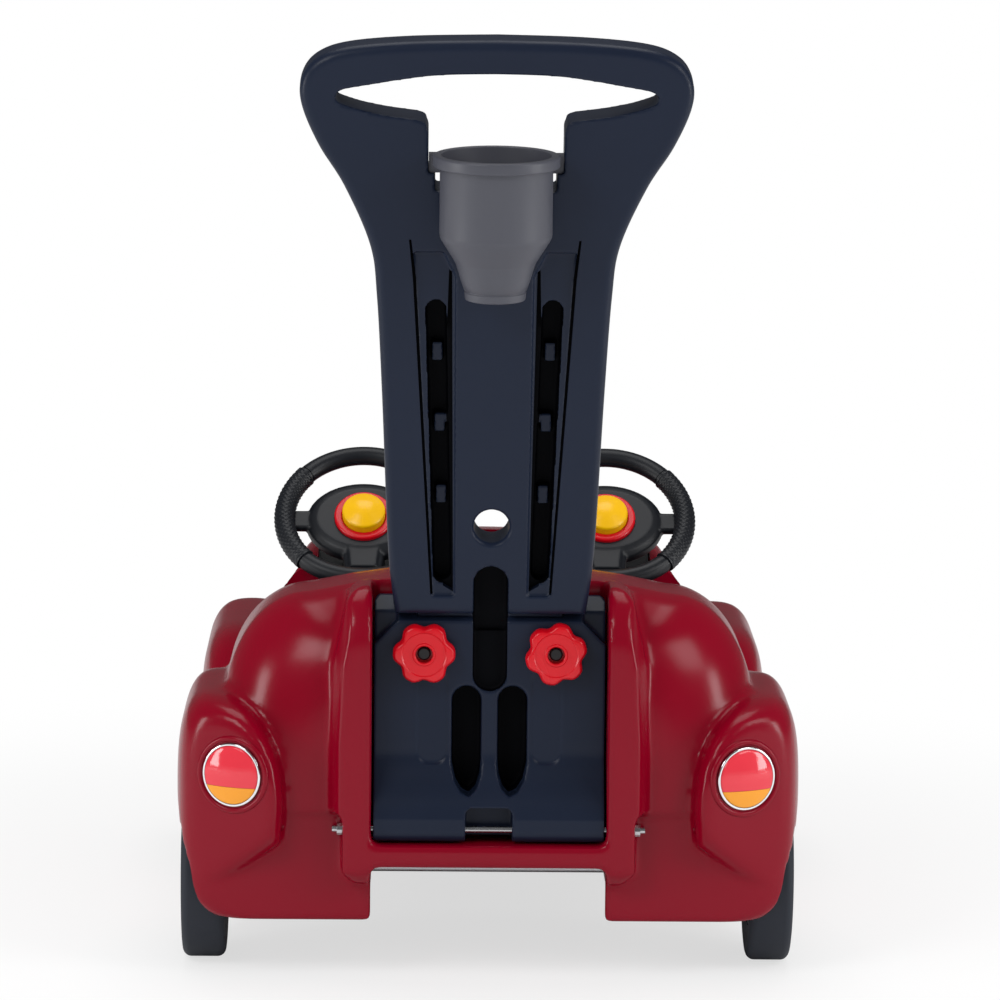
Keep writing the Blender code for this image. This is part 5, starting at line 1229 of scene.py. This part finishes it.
def in_handle_slot(spot):
    y, z = spot.y - FOOT_Y, spot.z - FOOT_Z
    s = z * math.cos(LEAN) - y * math.sin(LEAN)
    depth = y * math.cos(LEAN) + z * math.sin(LEAN)
    middle = 0.0465 + (0.0083 * (s - 0.043) / 0.275) - 0.001
    rib = depth < 0.0148 and abs(abs(spot.x) - middle) < 0.0062
    rib = rib and any(abs(s - place) < 0.0098 for place in RIB_PLACES)
    strip = 0.0335 < abs(spot.x) < 0.0815 and 0.028 < s < 0.392 and depth > 0.0050
    foot = abs(spot.x) < 0.0170 and s < 0.0630 and depth > 0.0030
    return depth < 0.0300 and (foot or (strip and not rib))


def in_base_slot(spot):
    low = 0.0040 < abs(spot.x) < 0.0385 and 0.178 < spot.z < 0.289 and spot.y > -0.3350
    middle = abs(spot.x) < 0.0170 and spot.z > 0.279 and -0.3350 < spot.y < -0.3270
    return (low and spot.y < -0.3100) or middle


print("lamp and wheel helpers ready")

# %% [markdown]
# ## Put the fine pieces on the car
# Each fine piece takes the place of its plain solid, wears the same finish and rides on the same
# moving body. Everything is drawn in the car's own coordinates and moved once to the frame's.

# %% Make, move and dress the fine pieces
SMOOTH_ANGLE = math.radians(38.0)


def settle(item, finish, body, *nodes):
    """Move a fine piece into the frame, dress it, and let it ride in the place of its solids."""
    item.data.transform(Matrix.Translation(OWN_ZERO))
    item.data.materials.clear()
    item.data.materials.append(finishes[finish])
    only(item)
    bpy.ops.object.shade_smooth_by_angle(angle=SMOOTH_ANGLE)
    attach(item, body)
    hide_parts(*nodes)
    print(item.name, "faces", len(item.data.polygons))
    return item


settle(red_body(), "body_red", "car_body", "body_shell")
paint_slot_shade(settle(push_handle(), "handle_black", "push_frame", "push_handle"), in_handle_slot)
paint_slot_shade(settle(handle_base(), "handle_black", "push_frame", "handle_base"), in_base_slot)
settle(cup_holder(), "cup_grey", "cup", "cup_holder")
for word, side in SIDES:
    settle(knob(word, side), "knob_red", "clamp_knob_" + word, "knob_" + word)
    settle(steering_wheel(word, side), "wheel_black", "steering_" + word, "steering_wheel_" + word)
    settle(horn_ring(word, side), "knob_red", "steering_" + word, "horn_ring_" + word)
    settle(horn_button(word, side), "horn_yellow", "horn_" + word, "horn_button_" + word)
    place = tail_lamp(side)
    red = lens("lens_red_top_" + word, place, TAIL_LENS, RED_LOW, LENS_REACH, TAIL_RISE)
    settle(red, "lens_red", "car_body", "tail_lens_red_" + word)
    amber = lens("lens_amber_low_" + word, place, TAIL_LENS, -LENS_REACH, AMBER_HIGH, TAIL_RISE)
    settle(amber, "lens_amber", "car_body", "tail_lens_amber_" + word)
    ring = bezel("tail_ring_" + word, place, TAIL_RING, TAIL_LENS)
    settle(ring, "chrome", "car_body", "tail_light_bezel_" + word)
    place = head_lamp(side)
    clear = lens("lens_clear_" + word, place, HEAD_LENS, -LENS_REACH, LENS_REACH, HEAD_RISE)
    settle(clear, "lens_clear", "car_body", "head_lens_" + word)
    ring = bezel("head_ring_" + word, place, HEAD_RING, HEAD_LENS)
    settle(ring, "chrome", "car_body", "head_light_bezel_" + word)
    rear = tyre("rear_tread_" + word, rear_frame(side), 0.0895, 0.0560, 0.0420, 0.0080)
    settle(rear, "tyre_slate", "rear_wheel_" + word, "rear_tyre_" + word)
    front = tyre("front_tread_" + word, caster_frame(side), 0.0570, 0.0360, 0.0340, 0.0060)
    settle(front, "tyre_slate", "front_wheel_" + word, "front_tyre_" + word)

# %% [markdown]
# ## Studio
# The car stands on a white floor in soft light from all sides. The floor is lit like the car, so
# it keeps the shadow, and further out it fades into the white of the background.

# %% Build the studio
WORLD_LIGHT = 0.54
WORLD_GLOSS = 0.12
FLOOR_WHITE = 0.66
FADE_START = 0.55
FADE_END = 1.30
RAY_KINDS = ("Camera", "Transmission", "Glossy")
FLOOR_SIZE = 24.0
CAR_MIDDLE = (0.0, 0.0, 0.3)


def studio():
    """White for the camera and through the lenses, softer for what lights the car."""
    scene = bpy.context.scene
    scene.view_settings.view_transform = "Standard"
    scene.world = bpy.data.worlds.new("studio")
    scene.world.use_nodes = True
    sky = Mix(scene.world.node_tree)
    rays = [sky.node("LightPath", output="Is " + kind + " Ray") for kind in RAY_KINDS]
    seen = rays[0].maths("MAXIMUM", *rays[:2])
    bright = sky.node("MapRange", None, {"Value": seen, "To Min": WORLD_LIGHT, "To Max": 1.0})
    back = sky.tree.nodes["Background"].inputs
    sky.join(back["Color"], (1.0, 1.0, 1.0, 1.0))
    sky.join(back["Strength"], bright + (WORLD_GLOSS - WORLD_LIGHT) * rays[2])


def area_light(name, spot, aim, size, power):
    data = bpy.data.lights.new(name, "AREA")
    data.shape = "RECTANGLE"
    data.size, data.size_y = size
    data.energy = power
    lamp = bpy.data.objects.new(name, data)
    bpy.context.scene.collection.objects.link(lamp)
    lamp.location = spot
    lamp.rotation_euler = (Vector(aim) - Vector(spot)).to_track_quat("-Z", "Y").to_euler()


studio()
area_light("key_light", (-1.6, -2.2, 2.2), CAR_MIDDLE, (1.1, 1.1), 26.0)
area_light("fill_light", (2.0, -1.6, 1.8), CAR_MIDDLE, (1.1, 1.1), 18.0)
area_light("top_light", (0.0, 0.3, 2.8), CAR_MIDDLE, (1.6, 1.6), 20.0)
for side in BOTH:
    area_light("side_light", (side * 2.5, -1.0, 0.60), (side * 0.3, -0.2, 0.35), (0.5, 1.0), 16.0)

bpy.ops.mesh.primitive_plane_add(size=FLOOR_SIZE, location=(0.0, 0.0, 0.0))
floor = bpy.context.object
floor.name = "floor"
floor_finish = Finish("floor_white", Roughness=0.9, Specular_IOR_Level=0.1)
floor_finish.feed("Base Color", (0.93, 0.93, 0.93, 1.0))
away = floor_finish.node("VectorMath", {"operation": "LENGTH"}, {0: floor_finish.place()}, 1)
ends = {"Value": away, "From Min": FADE_START, "From Max": FADE_END, "To Min": FLOOR_WHITE}
fade = floor_finish.node("MapRange", {"interpolation_type": "SMOOTHSTEP"}, ends)
share = fade * floor_finish.node("LightPath", output="Is Camera Ray")
glow = floor_finish.node("Emission", None, {"Strength": 1.0})
lit = Wire(floor_finish, floor_finish.shader.outputs[0])
mixed = floor_finish.node("MixShader", None, {0: share, 1: lit, 2: glow})
floor_finish.join(floor_finish.tree.nodes["Material Output"].inputs["Surface"], mixed)
floor.data.materials.append(floor_finish.material)
print("studio ready")
